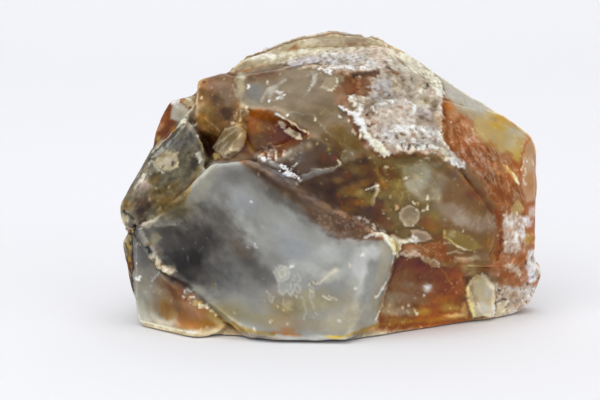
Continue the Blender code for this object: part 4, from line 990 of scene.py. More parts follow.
def work_lower_right(front):
    """The glassy red-brown facet at the lower right, and the clear lens."""
    front.clouds([(15, 16, 1.4, 1.6, RUDDY, 0.7), (21.6, 16, 3, 1.6, BURNT, 0.8),
        (17.4, 14.4, 2.4, 1.4, EARTH, 0.6), (15, 12.4, 1.6, 1.6, EARTH, 0.8),
        (18, 12, 2.4, 1.4, MAUVE, 0.8), (26, 14, 2.4, 2, BURNT, 0.8, -30), (28.6, 13.6, 2, 2.4, BURNT, 0.8),
        (24.4, 12, 1.4, 1.4, RUST, 0.5), (14.6, 9, 2.4, 2, DRAB, 0.9), (18, 9, 3, 2, MAUVE, 0.9),
        (21.4, 8.6, 2, 1.4, MAUVE, 0.6), (24, 9.4, 2, 1.4, RUST, 0.7), (27.6, 10.6, 3, 2, BURNT, 0.9),
        (27, 8.6, 3, 1.2, AMBER, 0.6), (27.6, 7, 2.4, 1, CITRINE, 0.7), (13.4, 6.4, 2, 1.6, LICHEN, 0.7),
        (17, 6, 3.4, 1.2, DRAB, 0.9), (21.5, 6, 2.4, 1, CITRINE, 0.7), (31, 6.6, 1, 1.6, STRAW, 0.6),
        (30, 12, 1.2, 2.6, RUST, 0.5, 10), (29, 5, 3, 0.7, STRAW, 0.7), (16, 4, 4, 0.6, CITRINE, 0.6),
        (22, 4.2, 4, 0.6, AMBER, 0.7)])
    front.grain(LOWER_RIGHT, 0.06, 2.4, turn=50, stretch=1.6, soft=2)
    front.grain(LOWER_RIGHT, 0.05, 0.9, soft=1, seed=5)
    front.clouds([(22.4, 11.4, 1, 1, WHITE, 0.8), (22, 11.4, 1.8, 1.5, SAND, 0.4)])
    front.chips([(22.1, 11.6, 0.4, WHITE), (16.8, 7, 0.3, CREAM), (17.9, 6.1, 0.3, CREAM),
        (19.4, 6.3, 0.25, CREAM), (20, 5.8, 0.3, WHITE), (18.2, 7.6, 0.2, CREAM), (21.5, 9.6, 0.2, WHITE)])
    front.stroke([(25.8, 16), (28.6, 11.4)], ROSE, 0.2, 0.5)
    front.stroke([(10.8, 3), (31.5, 4.7)], HONEY, 0.6, 0.75)
    front.stroke([(15, 18.4), (11.3, 6.4)], HONEY, 0.35, 0.6)
    front.specks(LOWER_RIGHT, SAND, 60, 0.12, seed=38)
    front.scratches(LOWER_RIGHT, ROSE, 30, 1.6, 60, seed=39)
    # The lens
    front.clouds([(36.4, 11, 1.2, 2, BONE, 0.7), (35, 7, 1.6, 1.6, BONE, 0.7),
        (36, 6.4, 1.2, 1.6, BONE, 0.7), (33.2, 8.4, 1, 1.6, EARTH, 0.4), (32.4, 11, 0.7, 1.4, HONEY, 0.5)])
    front.patch(LENS, None, lift=0.25, soft=0.5)
    front.stroke([(34, 14.2), (32.4, 13), (31.6, 11.3), (33.2, 5)], STRAW, 0.6, 0.85, lift=0.1)
    front.stroke([(33, 13.8), (32, 11.6), (33.2, 7.4)], CREAM, 0.35, 0.7)
    front.stroke([(35, 14.7), (36.8, 13.6), (38, 11.4), (37.4, 5.2)], BONE, 0.3, 0.7)
    front.stroke([(33.8, 8.2), (35, 6)], CREAM, 0.3, 0.8)


def work_matrix(front):
    """The pinkish granular matrix at the lower right corner, and the stained ground above it."""
    front.mottle(MATRIX, LILAC, 1.6, share=0.4)
    front.mottle(MATRIX, CHALK, 1.3, seed=3, lift=0.05)
    front.mottle(MATRIX, ROSE, 1.4, share=0.35, seed=9)
    front.clouds([(42.6, 7.8, 1.2, 0.7, LILAC, 0.5), (42, 5.8, 1.4, 0.8, CHALK, 0.5)])
    front.patch([(38, 8.4), (40.4, 8.8), (40.6, 6.2), (39.8, 5.2), (38, 5.4)], TAN, 0.85, soft=0.4,
        ragged=0.2, lift=0.15, gloss=0.8)
    front.stroke([(38, 8.2), (40.2, 9)], PEAT, 0.35, 0.85)
    front.stroke([(38, 5.4), (38, 8.2)], UMBER, 0.3, 0.6)
    front.chips([(38.8, 11, 0.3, PEAT), (45.4, 12.4, 0.3, PEAT), (45, 8.4, 0.2, OXBLOOD),
        (46.2, 9.8, 0.18, OXBLOOD)], lift=-0.05)
    front.specks(MATRIX, PEAT, 90, 0.11, seed=41)
    front.specks(MATRIX, WHITE, 50, 0.14, seed=42)
    front.clouds([(38.6, 13.4, 1.2, 1.2, EARTH, 0.7), (40.4, 14.4, 1.8, 1.6, RUST, 0.9),
        (43, 13, 1.4, 1.2, RUST, 0.5), (39.4, 16.6, 1.4, 1, RUST, 0.8), (44.4, 18, 1.2, 1.4, RUST, 0.6),
        (43, 18, 1.4, 1, RUST, 0.7)])
    front.scratches(RIGHT_LOW, BONE, 60, 1.3, -40, seed=43)
    front.patch([(39.4, 16.6), (41, 17), (43, 16.6), (44.4, 15), (43.4, 13.4), (42.6, 15), (41, 15.8)],
        CREAM, 0.6, ragged=0.7, lift=0.1)
    front.stroke([(40, 12), (42, 11), (45, 10.8)], CHALK, 0.5, 0.6, broken=0.1)
    front.patch([(45.2, 19.4), (46.6, 20.4), (48.6, 15.4), (47.2, 13), (45.6, 12.6), (45.4, 15)], CHALK,
        0.85, lift=0.12, chalk=0.3, gloss=0.2)
    front.clouds([(47.6, 15, 0.7, 1, LICHEN, 0.6)])
    front.chips([(45, 17.3, 0.3, BISTRE), (47.5, 17, 0.25, UMBER), (46.6, 14.2, 0.25, UMBER),
        (48, 13.6, 0.3, UMBER)])


def work_right_band(front):
    """The rust and orange net down the right side, with its yellow window and pink rim."""
    front.clouds([(28.4, 52, 1.4, 1.8, ROSE, 0.7), (27.2, 53.4, 1, 1.6, ORANGE, 0.8),
        (30.6, 52.4, 1.8, 1.2, TAN, 0.8, -30), (32.6, 51.6, 1.8, 1.4, TAN, 0.8, -30),
        (34.6, 51, 1.8, 1.4, WAX, 0.7, -20), (31.6, 49, 1.2, 1.8, ROSE, 0.5), (32, 46, 1.2, 1.6, ROSE, 0.5),
        (36.6, 37, 1.6, 1.4, RUDDY, 0.7), (38.4, 34, 1.8, 1.8, BURNT, 0.6),
        (40.4, 41, 1.4, 1.2, ROSE, 0.6)])
    front.patch([(32.8, 50.2), (36.6, 52.4), (39.4, 51.4), (46, 47.4), (43.4, 40.6), (41.6, 42.4),
        (39, 42.6), (34.4, 45.6), (33, 47.6)], STRAW, 0.9, soft=1.8, gloss=0.8)
    front.clouds([(38, 49, 1.8, 1.6, MUSTARD, 0.9), (37.6, 50.2, 1.2, 0.6, CITRINE, 0.5, -20),
        (39.6, 48.6, 1.4, 1.6, MUSTARD, 0.6), (42, 47.4, 1.8, 1.4, TAN, 0.8), (44, 47, 1.2, 1, BONE, 0.5),
        (41.6, 45, 1.4, 1.4, TAN, 0.7), (37, 44.4, 1.6, 1, ORANGE, 0.6), (43.2, 42, 1, 1.8, MUSTARD, 0.7)])
    front.stroke([(36.8, 50.4), (37.6, 45)], WAX, 0.5, 0.4)
    net = [(27, 52), (31, 50), (36, 44.5), (40, 42), (44, 38), (45, 33), (44, 28.5), (39, 29), (36, 34),
        (27.5, 44)]
    front.grain(net, 0.07, 1, turn=-60, stretch=2.2, soft=1.5)
    front.mottle(net, RUDDY, 1.3, strength=0.35, sharp=1.4, turn=-55, stretch=1.8, soft=1.5, seed=4)
    front.mottle(net, ROSE, 1.2, strength=0.35, sharp=1.4, turn=-60, stretch=2, soft=1.5, seed=14)
    front.veins(net, SAND, 1.8, 0.08, 0.4, soft=1.2, turn=-65, stretch=4)
    front.veins(net, OXBLOOD, 2, 0.1, 0.4, soft=1.2, turn=-50, stretch=2, seed=8)
    front.scratches(net, SAND, 90, 1.4, -60, seed=47)
    front.scratches(net, CREAM, 50, 0.9, -30, seed=48)
    front.scratches(net, SAND, 40, 1, 40, seed=50)
    front.strokes(SAND, 0.15, 0.35, [[(28.4, 50), (33.6, 41.4), (37, 37)], [(30, 49.4), (31.6, 45),
        (34.2, 41.6)], [(33.6, 44.6), (35.4, 41), (37.6, 38), (38.6, 34.6)], [(36, 42.4), (37, 39),
        (39, 36)], [(31, 41.6), (34.4, 38), (36.6, 34)]])
    front.patch([(44.2, 45.6), (45.8, 46.6), (47.6, 46.2), (48.5, 40), (48.3, 32), (45, 31), (44.2, 35),
        (44.3, 40)], ROSE, 0.9, soft=1, ragged=0.3, gloss=0.6)
    front.clouds([(46, 40, 1, 2, SAND, 0.4), (46, 35.6, 1.2, 2, ORANGE, 0.3)])
    front.stroke([(46.4, 46.4), (45, 44.6), (43.2, 38.4)], ORANGE, 0.45, 0.85)
    front.strokes(WHITE, 0.3, 0.7, [[(44.3, 41.6), (44.6, 40), (44, 38.6)], [(45, 39), (45.2, 37.8)],
        [(44.5, 36.6), (45, 35.4)]])
    front.chips([(45.3, 40.6, 0.25, WHITE), (44.6, 37.4, 0.25, CHALK)])
    front.patch([(39.8, 40), (40.8, 39.6), (42.2, 37.8), (43.6, 35.8), (43.4, 35), (40.4, 38.6)], STRAW,
        0.8, soft=0.5, ragged=0.3, lift=0.12)
    front.stroke([(42, 37.8), (43.4, 35.6)], CREAM, 0.5, 0.7)
    front.stroke([(36.4, 52.3), (39.4, 51.4)], CREAM, 0.6, 0.8)
    # The white patch and the red line beside it
    front.patch([(41.6, 30.4), (43.6, 31.6), (44.4, 29.6), (43.6, 27.8), (41.4, 28.4)], STRAW, 0.75)
    front.clouds([(46.4, 29, 1, 1.4, SAND, 0.7), (45.6, 26, 1, 1, SAND, 0.7),
        (45.5, 23, 1, 1.4, MUSTARD, 0.6)])
    front.patch([(40.6, 20.2), (39.8, 26.4), (40.4, 28.4), (42.6, 28.4), (45.4, 27.6), (46.4, 26.4),
        (44.8, 25.4), (44.4, 22.4), (43, 19.8), (41.6, 19.4)], SAND, 0.85, soft=1.2, ragged=1.1, sway=0.8,
        chalk=0.4, lift=0.12, gloss=0.2)
    front.mottle([(40, 20), (40, 28.4), (45, 28), (45, 20)], WHITE, 1.6, share=0.45, strength=0.7, turn=70,
        stretch=2.2, lift=0.08)
    front.clouds([(42.6, 26.4, 1.4, 1, WHITE, 0.5), (41, 21, 1, 1, MAUVE, 0.4),
        (40.6, 24.6, 0.7, 1.4, SALMON, 0.5)])
    front.mottle([(40, 20), (40, 28), (45, 28), (45, 20)], SALMON, 1, sharp=2.4, seed=7)
    front.stroke([(38.4, 29), (39.2, 23), (38.6, 18)], BURNT, 0.9, 0.85, soft=0.7, ragged=0.6)
    front.stroke([(39.3, 28), (39.7, 25), (39.2, 19)], OXBLOOD, 0.35, 0.7, ragged=0.6, broken=0.1)
    front.specks(RIGHT_BAND, CREAM, 90, 0.14, seed=45)
    front.specks([(38, 30), (45, 29), (46, 13), (38, 13)], SAND, 70, 0.17, seed=46)


def work_crust(front):
    """The white chalky crust near the top, pink and rust-stained inside its thick edges."""
    front.patch(CRUST, SAND, 0.92, soft=1, ragged=0.8, lift=0.25, chalk=0.5, gloss=0.15)
    front.clouds([(17.5, 50.5, 2.4, 2, CHALK, 0.6), (12.4, 47.6, 2, 1.6, LAVENDER, 0.6),
        (17, 47.6, 3, 1.2, WHITE, 0.5), (9, 50, 1.4, 1.8, MAUVE, 0.9), (7.6, 53, 1.2, 1.2, LILAC, 0.7),
        (9, 53.4, 1.6, 1.2, LILAC, 0.8), (10.6, 55.4, 2, 0.8, LILAC, 0.8), (13.6, 55.8, 1.8, 1, LILAC, 0.9),
        (21, 54.4, 2, 1.2, TAN, 0.7), (24, 53.4, 1.2, 1.6, DRAB, 0.8), (21, 51, 1.8, 1.8, MAUVE, 0.7),
        (23, 50.4, 1.4, 1.4, MAUVE, 0.7), (21, 49.4, 1.2, 1, LILAC, 0.7), (25, 49.6, 1, 1.8, ROSE, 0.6),
        (10.6, 57.4, 1.6, 1.4, LILAC, 0.7), (12.3, 58, 1.4, 1.4, LAVENDER, 0.7),
        (17, 58.4, 1.8, 1.2, MAUVE, 0.5), (19, 59.6, 1.4, 0.8, LICHEN, 0.7),
        (13.6, 61.6, 1.6, 1, MAUVE, 0.7, -30), (12, 62.6, 1.2, 0.8, LILAC, 0.7),
        (15.6, 63, 1.8, 1, TAN, 0.8, -20), (22.2, 58, 1.4, 1, LICHEN, 0.7), (4, 64, 2, 1, CHALK, 0.8),
        (7, 64, 2, 1, CHALK, 0.7), (3.4, 62.4, 1.6, 0.6, CHALK, 0.6), (23.4, 52.2, 1, 1, PLUM, 0.4)])
    chalky = [(8, 56), (8, 44), (12, 42.4), (24, 42.6), (25.6, 47), (24, 49), (14, 48.6), (10, 50)]
    front.mottle(chalky, WHITE, 2.2, share=0.4, turn=-15, stretch=1.8, seed=2, lift=0.08)
    front.mottle(chalky, MAUVE, 2, sharp=2.2, turn=-15, stretch=1.6, seed=4)
    front.mottle(CRUST, WHITE, 2.4, share=0.16, turn=-10, stretch=1.8, seed=6)
    front.mottle(CRUST, MAUVE, 1.6, share=0.14, strength=0.35, seed=11)
    front.mottle([(8, 55), (9, 59.6), (14.6, 59.6), (14.6, 55.4)], LAVENDER, 1, share=0.5, strength=0.7,
        sharp=2.4, seed=8)
    front.patch([(10, 50.2), (10.2, 52.2), (13.6, 53.4), (18.6, 53.8), (19.2, 50.8), (15, 49.7)], SAND,
        0.55, soft=0.9, chalk=0.1)
    front.grain(CRUST, 0.05, 2.4, soft=1)
    # The rust and plum stains at its upper left
    front.patch([(3.4, 56), (2.6, 58.6), (3.6, 60), (5.4, 61.2), (10.6, 61.6), (11, 59.8), (8.6, 59.4),
        (9.4, 57), (8, 55.4), (6.6, 55.2)], RUDDY, 0.75, soft=1, ragged=0.7, chalk=0, lift=-0.1, gloss=0.5)
    front.clouds([(5.6, 57.6, 1.8, 1.6, RUST, 0.5), (8.6, 55.6, 0.7, 0.7, OXBLOOD, 0.7),
        (8.2, 60.6, 2.4, 0.8, PLUM, 0.9), (10.6, 61, 1, 0.6, PLUM, 0.6), (2.6, 60.8, 1, 0.6, RUDDY, 0.6),
        (9.6, 59, 0.7, 0.5, MAUVE, 0.6)])
    front.chips([(5.6, 60.2, 0.5, SOOT), (6.8, 59.8, 0.25, CREAM), (8.8, 57.6, 0.25, LAVENDER)], lift=-0.05)
    front.clouds([(15, 60.6, 1, 0.5, BURNT, 0.8, -10), (13.6, 61.8, 1, 0.5, PLUM, 0.8, -50),
        (12.6, 63.2, 0.6, 0.4, PLUM, 0.6)])
    front.chips([(10.3, 57.2, 0.25, ASH), (13.4, 55.6, 0.25, UMBER), (12.4, 56.4, 0.2, ASH),
        (22.4, 58.1, 0.35, SOOT), (22, 57.6, 0.25, SOOT), (18.6, 59.2, 0.25, UMBER), (9, 48.5, 0.4, UMBER),
        (16.6, 46.7, 0.5, OLIVE), (13, 45.8, 0.3, UMBER), (12, 44.9, 0.35, UMBER), (15.4, 46, 0.3, UMBER),
        (18.2, 43.8, 0.5, BISTRE), (20, 44, 0.45, UMBER), (16.4, 44, 0.35, UMBER), (22.4, 44.2, 0.4, MAUVE),
        (10.9, 46.2, 0.3, MAUVE), (8.4, 51.2, 0.45, RUDDY), (9.6, 49, 0.35, RUDDY),
        (25.6, 47.2, 0.3, BISTRE), (21.2, 45.8, 0.3, MAUVE)], lift=-0.1)
    front.ring([(14.4, 58.4), (15.6, 56.6), (18.4, 56), (21, 57), (21.4, 58.4), (19.6, 60), (16.4, 60.2)],
        CREAM, 0.35, 0.6, ragged=0.2, broken=0.1)
    # Its thick white edges
    edge = dict(ragged=0.8, soft=0.5, lift=0.2, chalk=0.6, gloss=0.1)
    front.stroke([(2, 53), (5.2, 51.8)], WHITE, 0.7, 0.95, **edge)
    front.stroke([(5, 51.8), (6.4, 50.4), (8, 46.6)], WHITE, 1.2, 0.9, **edge)
    front.stroke([(8, 46.7), (12.7, 42.6)], CREAM, 1.7, 0.9, **edge)
    front.stroke([(5, 55.4), (7, 52.8), (6.6, 51.4)], WHITE, 1, 0.8, broken=0.1, **edge)
    front.stroke([(10.6, 51.8), (9.6, 52.7), (12, 54), (15, 54.7), (18, 54.5), (19.4, 53.6), (19, 51.6)],
        WHITE, 0.5, 0.8, ragged=0.6, broken=0.05, lift=0.1)
    front.stroke([(14, 47.4), (17, 48.2), (20.4, 47.8), (25, 45.6)], WHITE, 1.2, 0.8, ragged=0.9, soft=0.6,
        broken=0.1, lift=0.1)
    front.stroke([(14.4, 43.6), (16.6, 45), (19, 45.3), (22, 44), (25, 43.4)], WHITE, 0.7, 0.85, ragged=0.9,
        broken=0.15, lift=0.1)
    front.stroke([(20, 43.6), (23.4, 44.2), (26.4, 42.8), (28, 40.8), (30, 39.4)], CHALK, 0.7, 0.85,
        ragged=0.7, broken=0.1, lift=0.1)
    front.stroke([(22, 43.2), (24.4, 42.8), (26.4, 41.6)], RUST, 0.5, 0.6, broken=0.1)
    front.chips([(5.4, 47.5, 0.35, CREAM), (5.8, 47, 0.25, WHITE), (28.8, 39.9, 0.3, WHITE),
        (11.6, 41.9, 0.25, CREAM), (4.4, 49.8, 0.25, CREAM)], lift=0.08)
    # The cream ridge and the white band along the top
    front.patch([(12.6, 64.4), (14, 66.2), (18.2, 65), (22.8, 61.8), (25.6, 58.6), (25.7, 55.8), (24.6, 56),
        (23.4, 58.6), (17.6, 61.6), (16.4, 63.4), (14, 64)], CREAM, 0.8, soft=1, lift=0.1)
    front.stroke([(20.8, 61), (22.6, 60.4), (24.4, 58.6), (25.4, 56.2)], CREAM, 1.4, 0.9, **edge)
    front.stroke([(16.6, 64.4), (19.4, 61.4)], CREAM, 1.2, 0.7, **edge)
    front.strokes(DRAB, 0.25, 0.7, [[(13.6, 65), (15.2, 62.4)], [(15, 64.6), (17.8, 61.6)], [(21.4, 62),
        (22.4, 61.2)], [(12, 66), (13, 64.8)], [(19.8, 60.6), (21.8, 59.4)]])
    front.stroke([(-8.5, 63), (-5, 63.8), (3, 63.6)], LAVENDER, 1.2, 0.7, soft=0.8, ragged=0.6)
    front.stroke([(-1, 64.6), (7, 64), (9.6, 62.8)], CHALK, 1.8, 0.7, soft=0.8, ragged=0.7)
    front.stroke([(-9, 64.4), (-2, 65.4), (5, 65.6)], CREAM, 0.8, 0.6, soft=0.6)
    front.stroke([(-2.4, 61.6), (-0.6, 62.4), (8.6, 61.8)], WHITE, 0.6, 0.75, broken=0.05, lift=0.12)
    front.specks([(-9, 62.6), (-8, 65), (10, 65.4), (10.6, 62)], GREY, 80, 0.14, seed=50)
    front.specks([(-3, 62.6), (-2, 64.6), (8, 64.6), (9, 62.6)], DRAB, 30, 0.28, seed=51)
    front.specks([(-3, 62.6), (-2, 64.6), (8, 64.6), (9, 62.6)], UMBER, 20, 0.16, seed=55)
    front.stroke([(-10, 62), (-2.6, 63)], UMBER, 0.5, 0.85)
    front.patch([(-1.4, 61.4), (-0.6, 62), (0.4, 61.4), (0, 60.4), (-0.8, 60.8)], WHITE, 0.85, soft=0.35,
        lift=0.1)
    front.chips([(-0.6, 61.3, 0.18, ASH)])
    front.specks(CRUST, UMBER, 50, 0.15, seed=52)
    front.specks(CRUST, WHITE, 90, 0.2, seed=53)
    front.specks([(9, 49), (10, 53), (19, 54), (19, 49)], SALMON, 40, 0.16, seed=54)
    front.stroke([(25.8, 54.8), (26, 47.6), (26.8, 44.4)], RUST, 0.5, 0.7)
    front.stroke([(26, 55.3), (26.4, 54), (26.2, 52.6)], ORANGE, 0.6, 0.8)


def work_top(front):
    """The ridge behind the crust, tan and brown with cream stripes."""
    front.clouds([(-19, 61.8, 3, 0.5, ORANGE, 0.5, 15), (-13, 64.4, 2, 0.6, CREAM, 0.7, 10),
        (-8.4, 66.7, 1.4, 0.5, RUST, 0.8, 20), (-6.2, 66, 1, 0.5, WHITE, 0.8),
        (-4.6, 68, 1.8, 0.6, CREAM, 0.6, 10), (5, 67.4, 1.8, 0.7, MAUVE, 0.9),
        (8, 67.4, 1.4, 0.7, MAUVE, 0.7), (-16, 65, 3.4, 1, CREAM, 0.6, 15), (-2, 68.3, 4, 0.7, SAND, 0.6),
        (6, 68.4, 3, 0.6, LILAC, 0.6)])
    front.mottle(TOP_RIDGE, CREAM, 1.6, strength=0.3, sharp=1.4, turn=8, stretch=3, seed=3)
    front.mottle(TOP_RIDGE, MAUVE, 2, strength=0.25, sharp=1.4, turn=8, stretch=2.6, seed=5)
    front.stroke([(-14, 64.8), (2, 66.4), (12, 66.4)], CREAM, 0.9, 0.8, soft=0.6)
    front.stroke([(-24, 61), (-12, 63.2)], CREAM, 0.5, 0.6, broken=0.1)
    front.stroke([(-20, 61.6), (-14, 62.8)], RUST, 0.4, 0.6, broken=0.1)
    front.stroke([(-8, 66.4), (-3, 67), (3, 67)], EARTH, 0.35, 0.5)
    front.clouds([(30, 54, 2, 0.6, TAN, 0.5, -20)])
    front.grain(TOP_RIGHT, 0.04, 0.8)


def work_tones(front):
    """The broad light and shade of the front, laid over the finished faces."""
    front.tones([(30, 6, 3, 2.4, 0.32), (26, 6.4, 3, 2.6, 0.27, 0.06), (28, 6, 2, 1.4, -0.08, 0.04),
        (30, 10, 2, 1.6, 0.1), (26, 15, 2, 1.4, 0.05, 0.06), (22, 6, 3, 2.4, 0.24, 0.22),
        (14, 6, 3, 2.6, 0.16, 0.05), (34.4, 7, 2.2, 3, 0.18), (38.6, 6.6, 2, 2, 0.2),
        (42, 6, 2.4, 1.6, 0.14), (-34, 30, 3, 2.6, -0.24, 0.15), (-38, 29.4, 2.4, 2, -0.2, 0.2),
        (-38, 25.6, 3, 2.4, -0.2, 0.03), (-18, 38, 3.6, 2.4, -0.2, 0.02), (-14, 34, 3.4, 2.4, -0.17, 0.03),
        (-18, 14.6, 4.6, 4, -0.17), (-23, 14, 4, 4, -0.14, -0.02), (-14, 18.4, 3, 3, -0.08),
        (-10, 6.4, 4.4, 2.4, -0.06, 0.2), (-26, 6, 3, 2.4, -0.04, 0.18), (-21.6, 6, 3, 2.4, -0.06, 0.15),
        (6, 22, 3, 1.8, 0.12), (2, 42, 3, 2.6, -0.2, 0.08), (6, 46, 2, 2, -0.08, 0.1),
        (-6, 50, 3, 2.4, -0.13, 0.05), (-22, 42.4, 2, 2, -0.14), (-22, 46, 2.6, 2.6, -0.06, 0.12),
        (-30, 54, 2.6, 2.4, 0.16, 0.05), (-30, 49, 2.6, 4, 0.14), (-26, 58, 3, 2.2, 0.12, -0.08),
        (-18, 50, 3, 3, 0.36, 0.1), (-13.6, 50, 3, 3, 0.18, -0.05), (42, 38, 2.4, 2.6, 0.13, 0.1),
        (46, 26, 2, 2.6, 0.2, -0.15), (46, 30.4, 2, 2, 0.15, -0.1), (46.4, 14, 2, 2.4, 0.12, -0.08),
        (46, 10, 2, 1.6, 0.1, -0.04), (14, 58, 3.4, 3, -0.16, 0.04), (6, 54, 2.4, 2.4, -0.1, 0.05),
        (10, 54, 2.4, 2.4, -0.08, 0.02), (26, 42, 2, 2, -0.1, 0.05), (34, 30, 3, 3, -0.12, 0.12),
        (13, 66, 4, 2, 0.12), (-14, 66, 4, 2, 0.08), (-5, 66.4, 4, 1.8, 0.1), (-43, 37, 2, 4, 0.35, -0.1),
        (-39, 50, 2, 3, 0.12, -0.1), (38.4, 50, 2, 1.6, 0, 0.3), (42.4, 43.6, 1.8, 2.4, 0.08),
        (33, 45.4, 2.4, 2.4, 0.16, -0.05), (30, 50, 2.4, 2, 0.08), (-16, 65, 4, 1.4, 0.12, -0.08),
        (-40, 3, 5, 1.6, 0.25), (-32, 2, 5, 1.6, 0.22, 0.05), (-22, 2, 4, 2, 0.35, 0.05),
        (8, 1.4, 4, 1.4, 0.15, 0.1), (14, 3, 4, 1.8, 0.25, 0.1), (22, 3, 5, 1.8, 0.32, 0.12),
        (22, 46, 2, 2, -0.1), (22, 18, 2.4, 1.4, -0.16, 0.1), (-42, 18, 2, 2.4, -0.12, 0.02),
        (-18, 26, 2.4, 2, -0.1), (-42, 26, 1.6, 1.4, -0.1, 0.05), (14, 46, 2.4, 2, -0.07),
        (6, 25, 1.6, 1, 0.1), (2, 24, 2, 1, 0.07, -0.1), (-8, 33.5, 1.4, 1, -0.12),
        (42, 36, 2, 3, 0.06, -0.02), (26, 42, 1.6, 1.6, -0.08, 0.04), (-22, 50, 2, 2, -0.14),
        (-12, 37, 3, 1.6, 0, -0.12), (-4, 32, 3, 1.6, 0, -0.12), (5, 26, 3, 1.6, 0, -0.08),
        (22, 14, 4, 3, 0.02, -0.06), (32, 41, 4, 3, 0.06, -0.08), (-22, 46, 2, 2, -0.1),
        (-13.6, 38.4, 2, 1.6, 0.12), (6, 54, 1.6, 1.6, -0.08), (-26, 6, 3, 2, -0.08, 0.03),
        (-10, 6, 3, 2, -0.08), (46, 27, 1.6, 2.6, 0.05), (38, 6, 2, 2, 0.06, -0.02),
        (-46, 30, 1.6, 1.6, 0.1), (-42, 18, 2, 2, -0.06, -0.03), (-38, 18, 1.6, 1.6, -0.12),
        (-10, 30.5, 2.4, 1.6, -0.1), (-14, 46, 2, 1.6, -0.14, 0.04), (-6, 50, 2.4, 2, -0.1),
        (30, 16, 2, 3, 0.16, 0.03), (-30, 46, 1.6, 2, 0.14), (34, 38, 2, 2, -0.06),
        (26, 26, 2, 2, -0.07, 0.05), (15.4, 60.6, 1.6, 1.2, -0.12, 0.04), (18, 57.6, 2, 1.4, -0.11, 0.03),
        (20.6, 58, 1.4, 1.4, -0.1, 0.02), (23, 58, 1, 1.4, 0.12), (10.6, 54, 2, 1.4, -0.2),
        (13.4, 54, 1.4, 1.2, -0.12), (16, 54, 1.4, 1, 0.12, -0.06), (22, 54, 1.6, 1, -0.1, 0.06),
        (21.4, 51.4, 1.8, 1.4, -0.12, -0.06), (20, 48, 1.6, 1, -0.09), (24, 48, 1.4, 1.6, -0.15),
        (16, 44.4, 1.8, 1, -0.2), (20, 44.6, 2, 1, -0.14), (24.4, 44.6, 1.6, 1, -0.16),
        (14, 4, 2, 1, -0.12), (22, 4.2, 2, 0.8, -0.12, 0.03), (26.6, 4.6, 2, 0.9, 0.2, -0.12),
        (30.4, 5, 1.4, 1, 0.16, -0.1), (34, 6, 1.4, 1.6, -0.1), (21, 16.4, 3, 1, -0.18, 0.1),
        (28, 12, 2, 1.6, 0, 0.1), (-21, 47.5, 1.4, 1.4, -0.12), (-20, 45, 1.2, 1.2, -0.12),
        (-17.4, 48.4, 2, 2, -0.12, 0.04), (-27, 49, 2, 2, -0.18, 0.03), (-15, 60, 3, 1, -0.14, 0.06),
        (-24, 56, 1.6, 1.6, -0.06, -0.04), (-12, 58, 1.4, 1, -0.07)])


def work_front(front):
    """The whole of the front, face by face."""
    front.clear()
    for work in (work_grounds, work_lower_left, work_shoulder, work_upper_left, work_upper_middle,
                 work_orange_facet, work_window, work_purple_facet, work_centre, work_veil, work_dome,
                 work_lower_right, work_matrix, work_right_band, window_marks, work_top, work_crust,
                 work_tones):
        work(front)


# The faces of the sides that the photograph does not show, each as seen from its own side
BACK_ALL = [(-52, -2), (-52, 70), (52, 70), (52, -2)]
BACK_WINDOW = [(1, 4), (-1, 12), (3, 20), (1, 27), (9, 33), (17, 36), (24, 34), (31, 37), (38, 28),
               (36, 20), (42, 12), (40, 3), (22, 1), (8, 2)]
BACK_CRUST = [(-30, 47), (-24, 54), (-12, 62), (4, 67), (17, 63), (13, 57), (7, 53), (9, 47), (3, 43),
              (0, 48), (-6, 46), (-8, 37), (-12, 33), (-14, 42), (-20, 41), (-24, 36), (-26, 43)]
BACK_RUST = [(15, 62), (25, 56), (24, 46), (18, 38), (7, 31), (0, 20), (1, 6), (-3, -1), (-20, -1),
             (-17, 12), (-12, 26), (-13, 38), (-5, 40), (2, 47), (11, 52)]
BACK_OLIVE = [(-46, 11), (-47, 25), (-38, 34), (-24, 37), (-13, 38), (-12, 26), (-17, 12), (-20, -1),
              (-38, -1)]
BACK_YELLOW = [(-49, 25), (-49, 42), (-36, 52), (-22, 56), (-31, 43), (-24, 37), (-38, 34), (-47, 25)]
BACK_SHOULDER = [(24, 58), (34, 52), (42, 40), (50, 28), (50, 20), (43, 14), (38, 26), (29, 35), (18, 38),
                 (24, 46)]
BACK_STRIP = [(38, -1), (42, 14), (50, 24), (50, -1)]
BACK_MATRIX = [(-51, -1), (-51, 14), (-46, 13), (-40, 8), (-37, -1)]
RIGHT_EDGE = [(-4, -1), (-2, 12), (2, 24), (0, 36), (6, 50), (26, 56), (26, -1)]
LEFT_EDGE = [(-26, -1), (-26, 60), (-4, 62), (2, 50), (0, 40), (4, 28), (2, 14), (6, -1)]
UNDER_GREY = [(-40, -26), (-44, -2), (-24, 6), (-4, 2), (12, -6), (12, -26)]
UNDER_RUST = [(-24, 6), (-10, 26), (20, 26), (22, 8), (12, -6), (-4, 2)]


def work_all_round(skin):
    """Broad clouds of the stone's colours through its whole depth, as the ground of every side."""
    spots = skin.points / np.array((1.6, 1, 1))
    skin.colour[:] = DRAB
    layers = [(UMBER, 15, 0.45, 1.2, 0.55, 3), (GREY, 19, 0.4, 1.4, 0.8, 11),
        (OLIVE, 13, 0.35, 1.4, 0.6, 23), (RUST, 15, 0.35, 1.6, 0.4, 37), (ROSE, 11, 0.25, 1.6, 0.35, 51)]
    for colour, span, share, sharp, gloss, seed in layers:
        cover = spotted(cloud(spots / span + seed, 5), share, sharp) * 0.8
        skin.colour += (np.array(colour) - skin.colour) * cover[:, None]
        skin.finish["gloss"] += (gloss - skin.finish["gloss"]) * cover
    fine = smooth_step(cloud(spots / 2.6, 4) * 1.2 + 0.3)
    skin.colour += (np.array(BISTRE) - skin.colour) * 0.18 * fine[:, None]


